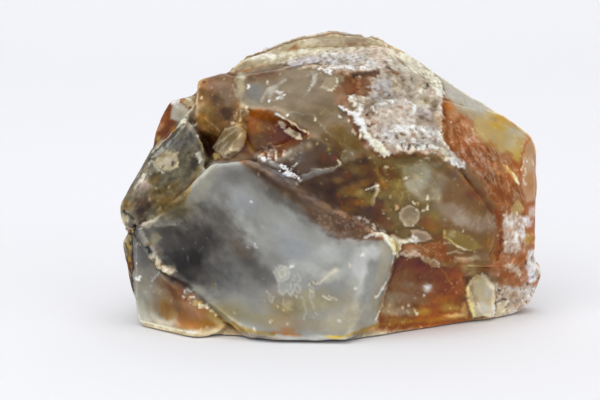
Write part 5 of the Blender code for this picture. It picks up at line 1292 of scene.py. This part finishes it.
def work_back_faces(back):
    """The big breaks of the back: how they lie, their ground and their clouds of colour."""
    back.tilt(BACK_WINDOW, -1.3, 0.5, 200)
    back.tilt(BACK_CRUST, 0.9, 0.1, -60)
    back.tilt(BACK_RUST, -0.9, 0.6, 70)
    back.tilt(BACK_OLIVE, 0.8, -1, 20)
    back.tilt(BACK_YELLOW, -1.2, 0.4, -30)
    back.tilt(BACK_SHOULDER, 0.8, -0.8, 40)
    grounds = [(BACK_RUST, EARTH, 0.55), (BACK_SHOULDER, SLATE, 0.6), (BACK_YELLOW, STRAW, 0.75),
        (BACK_STRIP, UMBER, 0.4), (BACK_MATRIX, SAND, 0.15), (BACK_OLIVE, GOLDEN, 0.85),
        (BACK_WINDOW, MILK, 0.95)]
    for outline, colour, gloss in grounds:
        back.patch(outline, colour, 0.85, soft=4, ragged=0.8, sway=3, gloss=gloss)
    for span, colour, seed in ((9, UMBER, 57), (8, TAN, 58), (7, DRAB, 59)):
        back.mottle(BACK_ALL, colour, span, share=0.3, strength=0.45, sharp=1.4, turn=30, stretch=1.6,
            seed=seed)
    back.patch(BACK_WINDOW, MILK, 0.7, soft=2, sway=2, gloss=0.95)
    back.patch(BACK_CRUST, SAND, 0.92, soft=1.2, ragged=1.2, sway=2.5, gloss=0.15, lift=0.3)
    back.clouds([(24, 23, 9, 6, SMOKE, 0.8, -25), (20, 20, 5, 3.4, COAL, 0.6, -25),
        (31, 26, 5, 3.4, ASH, 0.6, -30), (12, 27, 5, 4, MILK, 0.8, 30), (7, 18, 3.6, 6, MIST, 0.7),
        (13, 11, 6, 4, SKIM, 0.7), (30, 12, 6, 4, MILK, 0.7, 20), (36, 17, 3.4, 5, PEARL, 0.6),
        (18, 33, 6, 2, FROST, 0.6, 10), (28, 4.6, 6, 2, LICHEN, 0.7), (12, 4.4, 5, 2, TAN, 0.6),
        (38, 6, 2.4, 3, CITRINE, 0.6), (4, 8, 2.4, 3, RUST, 0.5), (16, 15, 3, 2, LAVENDER, 0.4, -30),
        (5, 56, 6, 4, CHALK, 0.6, 20), (-18, 46, 6, 4, LILAC, 0.6, 20), (-24, 43, 4, 2.6, TAN, 0.7, 20),
        (-12, 43, 5, 2.4, MAUVE, 0.4, 10), (8, 60, 4, 2, CREAM, 0.7, -10), (16, 52, 4, 5, BURNT, 0.6, 30),
        (20, 46, 4, 4, RUST, 0.7, 20), (8, 42, 6, 3, RUDDY, 0.7, 35), (-2, 33, 5, 4, RUST, 0.6, 60),
        (-1, 40, 4, 3, LILAC, 0.4, 20), (20, 54, 3, 2, TAN, 0.6, 20), (-10, 20, 3, 3, UMBER, 0.6),
        (-7, 24, 4, 5, BURNT, 0.6), (-4, 14, 4, 6, RUST, 0.5), (-12, 5, 6, 3.4, TREACLE, 0.7),
        (-9, 33, 3, 4, OXBLOOD, 0.5), (2, 38, 3, 2, ROSE, 0.6, 30), (-13, 14, 3, 5, HONEY, 0.6, 10),
        (-3, 4, 3, 3, AMBER, 0.5), (12, 38, 4, 1.6, UMBER, 0.6, 20), (-22, 28, 6, 4, CITRINE, 0.8, 10),
        (-32, 24, 6, 5, GOLDEN, 0.7), (-40, 20, 4, 6, DRAB, 0.8), (-26, 16, 6, 5, HONEY, 0.7, 20),
        (-34, 10, 6, 4, LICHEN, 0.7), (-22, 6, 4, 4, TREACLE, 0.7), (-18, 20, 3, 5, AMBER, 0.6, 10),
        (-38, 28, 4, 2.6, WAX, 0.7, 20), (-29, 31, 5, 2.4, SAGE, 0.7, 10), (-30, 4, 6, 2, STRAW, 0.6),
        (-17, 31, 3, 3, MOSS, 0.6), (-43, 13, 2.6, 3.4, UMBER, 0.6), (-42, 38, 5, 5, BONE, 0.8, 30),
        (-34, 44, 5, 4, FROST, 0.7, 35), (-38, 36, 4, 2, MUSTARD, 0.6, 20), (-30, 48, 4, 3, PEARL, 0.7, 35),
        (-46, 32, 2, 5, SAND, 0.6), (-29, 40, 2.4, 3, TAN, 0.6, 30), (32, 44, 5, 5, UMBER, 0.7, -50),
        (38, 34, 4, 5, ASH, 0.7, -50), (27, 50, 4, 4, EARTH, 0.7, -30), (44, 24, 3, 4, DRAB, 0.7),
        (30, 39, 4, 2.4, TAN, 0.6, -30), (36, 40, 2.4, 2, BONE, 0.7, -40), (44, 18, 2.4, 3, STRAW, 0.5)])
    back.mottle(BACK_WINDOW, MILK, 5, share=0.35, strength=0.35, soft=4, turn=-30, stretch=1.8, seed=61)
    back.mottle(BACK_WINDOW, SMOKE, 4, soft=4, turn=-30, stretch=1.8, seed=62)
    back.mottle(BACK_CRUST, WHITE, 2.8, share=0.4, strength=0.65, turn=20, stretch=1.8, seed=63, lift=0.12,
        chalk=0.6)
    back.mottle(BACK_CRUST, LILAC, 2.4, turn=20, stretch=1.6, seed=64)
    back.mottle(BACK_CRUST, ROSE, 3.6, share=0.1, turn=20, seed=65)
    back.mottle(BACK_RUST, BURNT, 2.6, share=0.4, turn=60, stretch=2.2, seed=66)
    back.mottle(BACK_RUST, ROSE, 2, turn=60, stretch=2.4, seed=67)
    back.mottle(BACK_OLIVE, STRAW, 2.6, turn=30, stretch=2, seed=68)
    back.mottle(BACK_OLIVE, MOSS, 3, share=0.35, turn=30, stretch=2, seed=69)
    back.mottle(BACK_YELLOW, WAX, 2.6, share=0.4, turn=40, stretch=2, seed=70)
    back.mottle(BACK_SHOULDER, SOOT, 2.2, turn=-40, stretch=1.8, seed=71)
    back.mottle(BACK_SHOULDER, TAN, 2.6, sharp=2.2, turn=-40, stretch=1.8, seed=72)
    back.mottle(BACK_STRIP, STRAW, 1.6, share=0.4, strength=0.7, turn=75, stretch=3, seed=73)
    back.mottle(BACK_STRIP, PEAT, 1.6, strength=0.8, sharp=2.4, turn=75, stretch=3, seed=74)
    back.mottle(BACK_MATRIX, CHALK, 1.5, share=0.35, seed=75)
    back.mottle(BACK_MATRIX, ROSE, 1.5, share=0.35, seed=76)
    for outline in (BACK_RUST, BACK_OLIVE, BACK_SHOULDER, BACK_CRUST):
        back.grain(outline, 0.1, 2, turn=35, stretch=1.8)


def work_back_marks(back):
    """Cracks, rubbed edges, ripples, flakes and grains of the back."""
    cracks = [([(0, 20), (3, 26), (7, 31), (12, 35), (18, 38), (24, 38)], BISTRE, 0.5, 0.7), ([(-13, 38),
        (-24, 37), (-31, 40)], UMBER, 0.4, 0.7), ([(18, 38), (24, 46), (25, 52)], PEAT, 0.45, 0.7),
        ([(38, 26), (42, 15), (41, 6)], PEAT, 0.6, 0.8), ([(-12, 26), (-17, 13), (-19, 3)], BISTRE, 0.35,
        0.6), ([(-46, 26), (-38, 33), (-30, 36)], UMBER, 0.4, 0.6)]
    for crack in cracks:
        back.stroke(*crack, soft=0.5, ragged=0.9, lift=-0.5)
    edge = dict(soft=0.4, ragged=0.8, broken=0.15, lift=0.15)
    back.stroke([(1, 6), (-0.4, 12), (0.4, 20), (3.6, 26)], CREAM, 0.5, 0.75, **edge)
    back.stroke([(7.6, 30.6), (12.6, 34.6), (18, 37.2), (26, 36.2)], BONE, 0.4, 0.65, **edge)
    back.stroke([(29, 34.6), (34, 30.6), (38, 25.6)], CREAM, 0.6, 0.8, **edge)
    back.stroke([(10, 1.6), (20, 1.4), (32, 2), (39, 4)], CITRINE, 0.7, 0.75)
    back.stroke([(-28, 46), (-25, 50), (-12, 60)], WHITE, 0.9, 0.6, chalk=0.5, **edge)
    back.stroke([(15, 61), (12, 56.4), (7.4, 52.8), (8, 47.6), (3.4, 44.6)], WHITE, 1.1, 0.8, chalk=0.5,
        **edge)
    back.stroke([(-1, 47), (-6, 44.6), (-8.6, 38), (-12, 34.6)], CREAM, 1, 0.75, chalk=0.4, **edge)
    back.stroke([(6, 63), (10, 60), (13.4, 56)], CREAM, 0.8, 0.7, chalk=0.4, **edge)
    back.stroke([(-20, 52), (-10, 51), (-1, 54), (6, 53)], WHITE, 0.6, 0.6, chalk=0.4, **edge)
    back.stroke([(-37, 1), (-39, 8), (-45, 13), (-48, 14)], BONE, 0.5, 0.7, **edge)
    back.ripples((33, 31), (9, 13.5, 18, 23, 29), 190, 262, MIST, 0.35, 0.45, lift=0.12, gloss=0.9)
    back.ripples((33, 31), (11, 15.6, 20.6, 26), 195, 258, ASH, 0.35, 0.35, lift=-0.1)
    back.ripples((-44, 4), (14, 19, 25, 31), 20, 78, WAX, 0.3, 0.35, lift=0.1)
    back.stroke([(12, 22), (17, 17), (20, 11)], MIST, 0.3, 0.5)
    back.strokes(CREAM, 0.35, 0.7, [[(14, 8), (17, 7), (19, 8)], [(26, 15), (28, 13.6), (29, 11)],
        [(10, 14), (11, 11)], [(-30, 20), (-27, 17), (-25, 12)], [(-36, 17), (-33, 16)], [(-21, 10),
        (-19, 14)]], lift=0.08)
    back.patch([(-37, 21), (-35, 24), (-31, 25), (-29.6, 22.6), (-32, 19.6), (-35.4, 19)], LICHEN, 0.6,
        soft=0.5, lift=0.3, gloss=0.8)
    back.patch([(31, 44), (33.6, 46.6), (36, 44), (35, 40.6), (32, 41)], SAND, 0.8, lift=0.3, chalk=0.3,
        gloss=0.2)
    back.patch([(38, 31), (40, 33), (42.6, 30), (41, 27.4), (39, 28)], BONE, 0.7, lift=0.25)
    back.patch([(-8, 28), (-5.4, 31), (-2, 30), (-2.6, 26.4), (-6, 25)], ROSE, 0.7, lift=0.25)
    back.patch([(-44, 33), (-41.6, 35), (-40, 33), (-42, 30.6)], WHITE, 0.7, soft=0.5, ragged=0.7,
        lift=0.15)
    back.stroke([(-16, 24), (-10, 20), (-6, 21), (-2, 18)], SAND, 0.5, 0.6, **edge)
    back.stroke([(-2, 40), (1, 34), (-1, 27)], ORANGE, 0.5, 0.6)
    back.veins(BACK_RUST, SAND, 2.4, 0.14, 0.5, turn=60, stretch=2.4, seed=81)
    back.veins(BACK_RUST, OXBLOOD, 2.8, 0.2, 0.5, turn=40, stretch=1.6, seed=82)
    back.veins(BACK_OLIVE, STRAW, 3.6, 0.16, 0.4, turn=30, stretch=2, seed=83)
    back.veins(BACK_YELLOW, HONEY, 3.4, 0.14, 0.5, turn=40, stretch=2, seed=84)
    back.veins(BACK_SHOULDER, BONE, 3.2, 0.14, 0.5, turn=-50, stretch=2, seed=85)
    ridge = [(-38, 50), (-12, 63), (2, 66.5), (14, 65), (26, 60.5), (32, 56)]
    back.stroke(ridge, LILAC, 4, 0.85, soft=2, ragged=0.8)
    back.stroke(ridge, CREAM, 1.2, 0.6, soft=1, ragged=0.8, broken=0.1)
    marks = [(BACK_WINDOW, WHITE, 60, 0.16), (BACK_WINDOW, CREAM, 30, 0.24), (BACK_RUST, CREAM, 120, 0.16),
        (BACK_RUST, PEAT, 50, 0.2), (BACK_OLIVE, CREAM, 90, 0.15), (BACK_OLIVE, MUSTARD, 50, 0.2),
        (BACK_YELLOW, CREAM, 60, 0.16), (BACK_YELLOW, UMBER, 30, 0.16), (BACK_SHOULDER, BONE, 70, 0.17),
        (BACK_CRUST, UMBER, 150, 0.2), (BACK_CRUST, WHITE, 120, 0.25), (BACK_CRUST, SALMON, 60, 0.2),
        (BACK_MATRIX, PEAT, 60, 0.13), (BACK_STRIP, CREAM, 30, 0.16)]
    for seed, mark in enumerate(marks, 90):
        back.specks(*mark, seed=seed)
    hairlines = [(BACK_WINDOW, MIST, 50, 40), (BACK_RUST, SAND, 90, 60), (BACK_OLIVE, WAX, 70, 30),
        (BACK_YELLOW, BONE, 50, 40), (BACK_SHOULDER, BONE, 50, -50)]
    for seed, (outline, colour, count, turn) in enumerate(hairlines, 110):
        back.scratches(outline, colour, count, 1.6, turn, seed=seed)


def work_ends(right, left):
    """The narrow ends of the stone, between its front and its back."""
    right.patch(RIGHT_EDGE, RUST, 0.85, soft=2.5, ragged=1, sway=2, gloss=0.55)
    right.clouds([(12, 40, 5, 6, STRAW, 0.7), (20, 36, 4, 6, BONE, 0.6), (12, 26, 5, 5, BURNT, 0.6),
        (3, 20, 3, 5, SAND, 0.7), (10, 4, 5, 4, LILAC, 0.8), (7, 24, 1.6, 3, CHALK, 0.7)])
    right.patch([(-6, 43), (-6, 62), (28, 62), (28, 43)], STRAW, 0.8, soft=2.5, ragged=1, sway=1.5,
        gloss=0.7)
    right.mottle(RIGHT_EDGE, BURNT, 2.4, turn=80, stretch=2.2, seed=121)
    right.mottle(RIGHT_EDGE, CREAM, 2.2, share=0.15, sharp=2.2, turn=80, stretch=2, seed=122, lift=0.1)
    right.veins(RIGHT_EDGE, SAND, 2.6, 0.14, 0.5, turn=80, stretch=2, seed=123)
    left.patch(LEFT_EDGE, SLATE, 0.85, soft=2.5, ragged=1, sway=2, gloss=0.6)
    left.clouds([(-18, 54, 5, 4, TAN, 0.7), (-10, 46, 5, 4, RUST, 0.6), (-12, 36, 5, 4, DRAB, 0.7),
        (-6, 30, 4, 4, TAN, 0.7), (-2, 20, 4, 5, GOLDEN, 0.7), (-2, 8, 4, 5, GREY, 0.7),
        (-7, 34, 2.4, 2, BONE, 0.8), (-13, 51, 2, 3, ORANGE, 0.6), (-5, 14, 1.6, 4, PEAT, 0.6)])
    left.mottle(LEFT_EDGE, PEAT, 2.2, turn=75, stretch=2.4, seed=124)
    left.mottle(LEFT_EDGE, STRAW, 2, turn=75, stretch=2.6, seed=125)
    left.veins(LEFT_EDGE, BONE, 2.8, 0.14, 0.5, turn=75, stretch=2, seed=126)
    for side, outline, seed in ((right, RIGHT_EDGE, 127), (left, LEFT_EDGE, 131)):
        side.grain(outline, 0.12, 2, turn=70, stretch=1.8)
        side.specks(outline, CREAM, 110, 0.16, seed=seed)
        side.specks(outline, PEAT, 70, 0.17, seed=seed + 1)
        side.specks(outline, WHITE, 30, 0.3, seed=seed + 2)
        side.scratches(outline, SAND, 60, 1.6, 70, seed=seed + 3)


def work_underside(under):
    """The scuffed flat underneath: grey and rust with pale rubbed grounds."""
    under.patch([(-50, -26), (-50, 26), (50, 26), (50, -26)], DRAB, 0.7, soft=2, gloss=0.4)
    under.patch(UNDER_GREY, GREY, 0.85, soft=3, ragged=1, sway=2.5, gloss=0.75)
    under.patch(UNDER_RUST, SALMON, 0.8, soft=3, ragged=1, sway=2.5, gloss=0.4)
    under.clouds([(-28, -10, 8, 5, MILK, 0.7, 10), (-14, -12, 6, 5, ASH, 0.6), (2, -14, 6, 4, PEARL, 0.6),
        (-36, 8, 6, 5, TAN, 0.7), (26, -4, 8, 6, HONEY, 0.6), (36, 4, 6, 5, SAND, 0.7),
        (10, 12, 8, 5, BURNT, 0.5, 20), (-8, 14, 6, 5, ROSE, 0.6), (24, 14, 6, 5, OLIVE, 0.6),
        (16, -4, 5, 4, LICHEN, 0.6)])
    floor_face = [(-48, -24), (-48, 24), (48, 24), (48, -24)]
    under.mottle(floor_face, BONE, 5, strength=0.35, sharp=1.4, turn=15, stretch=1.8, seed=141)
    under.mottle(floor_face, UMBER, 4, strength=0.35, turn=15, stretch=1.6, seed=142)
    under.veins(floor_face, CREAM, 4, 0.2, 0.4, turn=20, stretch=2, seed=143)
    under.veins(floor_face, PEAT, 4.4, 0.2, 0.4, turn=-20, stretch=1.6, seed=144)
    under.grain(floor_face, 0.06, 2.4)
    under.specks(floor_face, CREAM, 160, 0.2, seed=145)
    under.specks(floor_face, PEAT, 120, 0.18, seed=146)
    under.scratches(floor_face, BONE, 120, 2.2, 15, seed=147)


def finish_skin(skin):
    """Presses the relief into the mesh, pales its edges and paints shade into its hollows, and stores the
    colours and finishes on it.
    """
    points, normals = skin.points, skin.normals
    gloss, chalk = skin.finish["gloss"], skin.finish["chalk"]
    rough = 1 - smooth_step(gloss * 1.3)
    lift = skin.lift
    for span, shift, fine, coarse in GRAINS:
        lift = lift + cloud(points / span + shift) * (fine + coarse * rough)
    lift = np.clip(lift, -DEEPEST, DEEPEST) * smooth_step((points[:, 2] - BASE_MARGIN) / BASE_GUARD)
    moved = points + normals * lift[:, None]
    moved[:, 2] = np.maximum(moved[:, 2], 0.0)
    # Edges that stand out are made paler, partly as wear and partly as a painted highlight; hollows are
    # darkened with painted shade
    edge_wear_and_light = hollow_shade = 0
    for rounds, least, sharp, paler, darker in PALE_EDGES_AND_HOLLOW_SHADE:
        edge = skin.standing_out(moved, normals, rounds)
        edge_wear_and_light = edge_wear_and_light + smooth_step((edge - least) * sharp) * paler
        hollow_shade = hollow_shade + smooth_step((-edge - least) * sharp) * darker
    calm = (1 - 0.5 * chalk)[:, None]
    skin.colour *= 1 + calm * (edge_wear_and_light[:, None] - hollow_shade[:, None] * HOLLOW_SHADE_TINT)
    skin.mesh.vertices.foreach_set("co", (moved * MM).astype(np.float32).ravel())
    body = np.maximum(linear(np.minimum(skin.colour, BRIGHTEST)) - SHEEN, DARKEST)
    unused, whole = np.zeros((len(body), 1)), np.ones((len(body), 1))
    finish = np.clip(np.stack([gloss, chalk], 1), 0, 1)
    for name, columns in (("ground", (body, whole)), ("finish", (finish, unused, whole))):
        values = np.concatenate(columns, 1).astype(np.float32)
        skin.mesh.attributes.new(name, "FLOAT_COLOR", "POINT").data.foreach_set("color", values.ravel())
    skin.mesh.shade_smooth()


def node(tree, kind, *sources, **values):
    """A node with its settings and inputs; an input that is given a socket is linked to it."""
    made = tree.nodes.new("ShaderNode" + kind)
    for name, value in list(enumerate(sources)) + list(values.items()):
        if isinstance(name, str) and hasattr(made, name):
            setattr(made, name, value)
            continue
        socket = made.inputs[name if isinstance(name, int) else name.replace("_", " ")]
        if isinstance(value, bpy.types.NodeSocket):
            tree.links.new(value, socket)
        else:
            socket.default_value = value
    return made


def shader_group(name, inputs, outputs):
    """An empty node group with its sockets, the sockets of its start, and those of its end."""
    group = bpy.data.node_groups.new(name, "ShaderNodeTree")
    for way, sockets in (("INPUT", inputs), ("OUTPUT", outputs)):
        for label, kind in sockets:
            group.interface.new_socket(name=label, in_out=way, socket_type="NodeSocket" + kind)
    return group, group.nodes.new("NodeGroupInput").outputs, group.nodes.new("NodeGroupOutput").inputs


def mottle_group():
    """Darker and lighter grains over a colour."""
    inputs = [("Place", "Vector"), ("Colour", "Color"), ("Scale", "Float"), ("Amount", "Float")]
    group, start, end = shader_group("Mineral mottle", inputs, [("Colour", "Color"), ("Grain", "Float")])
    grains = node(group, "TexNoise", Vector=start["Place"], Scale=start["Scale"], Detail=4.0,
                  Roughness=0.65)
    spread = node(group, "MapRange", grains.outputs["Fac"], From_Min=0.3, From_Max=0.7, To_Min=-1.0)
    size = node(group, "Math", spread.outputs["Result"], start["Amount"], 1.0, operation="MULTIPLY_ADD")
    tinted = node(group, "VectorMath", start["Colour"], operation="SCALE", Scale=size.outputs[0])
    group.links.new(tinted.outputs[0], end["Colour"])
    group.links.new(grains.outputs["Fac"], end["Grain"])
    return group


def chalk_group():
    """White and stained granules of the chalky crust, with dark pinholes."""
    inputs = [("Place", "Vector"), ("Colour", "Color"), ("Mask", "Float")]
    group, start, end = shader_group("Chalk granules", inputs, [("Colour", "Color"), ("Height", "Float")])
    lumps = node(group, "TexNoise", Vector=start["Place"], Scale=1.1, Detail=5.0, Roughness=0.75)
    holes = node(group, "TexNoise", Vector=start["Place"], Scale=2.3, Detail=2.0, Roughness=0.5)
    white = node(group, "MapRange", lumps.outputs["Fac"], From_Min=0.48, From_Max=0.62)
    deep = node(group, "MapRange", holes.outputs["Fac"], From_Min=0.40, From_Max=0.30)
    colour = start["Colour"]
    for cover, tint, share in ((white, WHITE, 0.35), (deep, EARTH, 0.5)):
        masked = node(group, "Math", cover.outputs["Result"], start["Mask"], operation="MULTIPLY")
        faint = node(group, "Math", masked.outputs[0], share, operation="MULTIPLY")
        laid = node(group, "Mix", data_type="RGBA", Factor=faint.outputs[0], A=colour, B=(*linear(tint), 1))
        colour = laid.outputs["Result"]
    group.links.new(colour, end["Colour"])
    height = node(group, "Math", lumps.outputs["Fac"], deep.outputs["Result"], operation="SUBTRACT")
    scaled = node(group, "Math", height.outputs[0], start["Mask"], operation="MULTIPLY")
    group.links.new(scaled.outputs[0], end["Height"])
    return group


def stone_material():
    """The stone: glassy chalcedony and opal, dull rust, and chalky crust, told apart by its attributes."""
    material = bpy.data.materials.new("chalcedony")
    material.use_nodes = True
    tree = material.node_tree
    surface = tree.nodes["Principled BSDF"].inputs
    settings = {"IOR": 1.46, "Specular IOR Level": 0.25, "Subsurface Weight": 0.12,
                "Subsurface Radius": (1.0, 0.75, 0.5), "Subsurface Scale": 1.2 * MM, "Coat Roughness": 0.12}
    for name, value in settings.items():
        surface[name].default_value = value
    place = node(tree, "TexCoord").outputs["Object"]
    millimetres = node(tree, "VectorMath", place, operation="SCALE", Scale=1 / MM).outputs[0]
    finish = node(tree, "Attribute", attribute_name="finish").outputs["Color"]
    parts = node(tree, "SeparateColor", Color=finish)
    gloss, chalk = parts.outputs["Red"], parts.outputs["Green"]
    mottle = mottle_group()
    colour = node(tree, "Attribute", attribute_name="ground").outputs["Color"]
    for scale, amount in ((0.45, 0.10), (1.6, 0.14)):
        uneven = node(tree, "MapRange", gloss, To_Min=amount, To_Max=0.25 * amount).outputs["Result"]
        step = node(tree, "Group", node_tree=mottle, Scale=scale, Amount=uneven, Place=millimetres,
                    Colour=colour)
        colour, grain = step.outputs["Colour"], step.outputs["Grain"]
    crust = node(tree, "Group", node_tree=chalk_group(), Place=millimetres, Colour=colour, Mask=chalk)
    tree.links.new(crust.outputs["Colour"], surface["Base Color"])
    dull = node(tree, "MapRange", gloss, To_Min=0.85, To_Max=0.28)
    tree.links.new(dull.outputs["Result"], surface["Roughness"])
    coat = node(tree, "MapRange", gloss, From_Min=0.4, To_Max=0.25)
    tree.links.new(coat.outputs["Result"], surface["Coat Weight"])
    rough = node(tree, "Math", 1.15, gloss, operation="SUBTRACT")
    bumps = node(tree, "Math", grain, rough.outputs[0], crust.outputs["Height"], operation="MULTIPLY_ADD")
    bump = node(tree, "Bump", Strength=0.6, Distance=0.25 * MM, Height=bumps.outputs[0])
    tree.links.new(bump.outputs["Normal"], surface["Normal"])
    return material


def seen_share(facing, least, reach):
    """How much a side's work covers the skin, by how far the skin faces that side."""
    return smooth_step((facing - least) / reach)


def make_stone():
    """The stone, worked all over: every hidden side first and the front over them."""
    mesh = fine_skin()
    skin = Skin(mesh)
    work_all_round(skin)
    rightward, backward, upward = skin.spread(skin.normals, 6).T
    x, y, z = skin.points.T
    work_underside(Side(skin, x, y, z, seen_share(-upward, 0.1, 0.4)))
    work_ends(Side(skin, y, z, x, seen_share(rightward, 0.1, 0.4)),
              Side(skin, -y, z, x, seen_share(-rightward, 0.1, 0.4)))
    back = Side(skin, -x, z, y, seen_share(backward, 0.1, 0.3))
    back.clear()
    work_back_faces(back)
    work_back_marks(back)
    facing = np.stack([rightward, backward, upward], 1) @ TOWARD_EYE
    work_front(Side(skin, *drawn(skin.points * MM), seen_share(facing, 0.05, 0.2)))
    finish_skin(skin)
    mesh.materials.clear()
    mesh.materials.append(stone_material())
    stone = bpy.data.objects.new("stone_skin", mesh)
    bpy.context.scene.collection.objects.link(stone)
    return stone


def make_floor():
    """A pale sweep: a floor that curves up into a back wall."""
    sweep = bmesh.new()
    start, flat, rise, bend, width, below = -1.2, 0.5, 1.4, 0.35, 3.0, 0.0003
    profile = [(start, 0.0), (flat, 0.0)]
    profile += [(flat + bend * s, bend - bend * c) for c, s in map(direction, range(10, 100, 10))]
    profile.append((flat + bend, rise))
    line = [sweep.verts.new((-width / 2, y, z - below)) for y, z in profile]
    edges = [sweep.edges.new(pair) for pair in zip(line, line[1:])]
    pulled = bmesh.ops.extrude_edge_only(sweep, edges=edges)
    fresh = [part for part in pulled["geom"] if isinstance(part, bmesh.types.BMVert)]
    bmesh.ops.translate(sweep, verts=fresh, vec=(width, 0, 0))
    bmesh.ops.recalc_face_normals(sweep, faces=sweep.faces)
    mesh = bpy.data.meshes.new("sweep")
    sweep.to_mesh(mesh)
    sweep.free()
    mesh.shade_smooth()
    paper = bpy.data.materials.new("pale paper")
    paper.use_nodes = True
    surface = paper.node_tree.nodes["Principled BSDF"].inputs
    surface["Base Color"].default_value = (0.92, 0.92, 0.945, 1)
    surface["Roughness"].default_value = 0.9
    mesh.materials.append(paper)
    floor = bpy.data.objects.new("sweep", mesh)
    bpy.context.scene.collection.objects.link(floor)
    return floor


def soft_light(name, place, aim, size, watts):
    """A square soft light looking at a point."""
    data = bpy.data.lights.new(name, "AREA")
    data.size = size
    data.energy = watts
    light = bpy.data.objects.new(name, data)
    light.location = place
    light.rotation_euler = (Vector(aim) - Vector(place)).to_track_quat("-Z", "Y").to_euler()
    bpy.context.scene.collection.objects.link(light)


def light_and_camera():
    """Soft studio light, and the camera where the eye is."""
    world = bpy.data.worlds.new("studio")
    world.use_nodes = True
    sky = world.node_tree.nodes["Background"].inputs
    sky["Color"].default_value = (0.97, 0.98, 1.0, 1)
    sky["Strength"].default_value = 0.55
    bpy.context.scene.world = world
    middle = (0, 0, 0.03)
    soft_light("key", (-0.45, -0.75, 0.7), middle, 1.2, 5.4)
    soft_light("fill", (0.8, -0.7, 0.18), middle, 1.0, 3.6)
    soft_light("backdrop light", (0, 0.1, 1.1), (0, 0.8, 0.3), 0.8, 3.0)
    place, aim = eye_place()
    data = bpy.data.cameras.new("camera")
    data.sensor_width = FILM_WIDTH
    data.lens = FILM_WIDTH * EYE_DISTANCE / PICTURE_WIDTH
    camera = bpy.data.objects.new("camera", data)
    camera.location = place
    camera.rotation_euler = (aim - place).to_track_quat("-Z", "Y").to_euler()
    bpy.context.scene.collection.objects.link(camera)
    bpy.context.scene.camera = camera
    bpy.context.scene.view_settings.view_transform = "Standard"


stone = make_stone()
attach(stone, "root")
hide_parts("stone")
floor = make_floor()
light_and_camera()
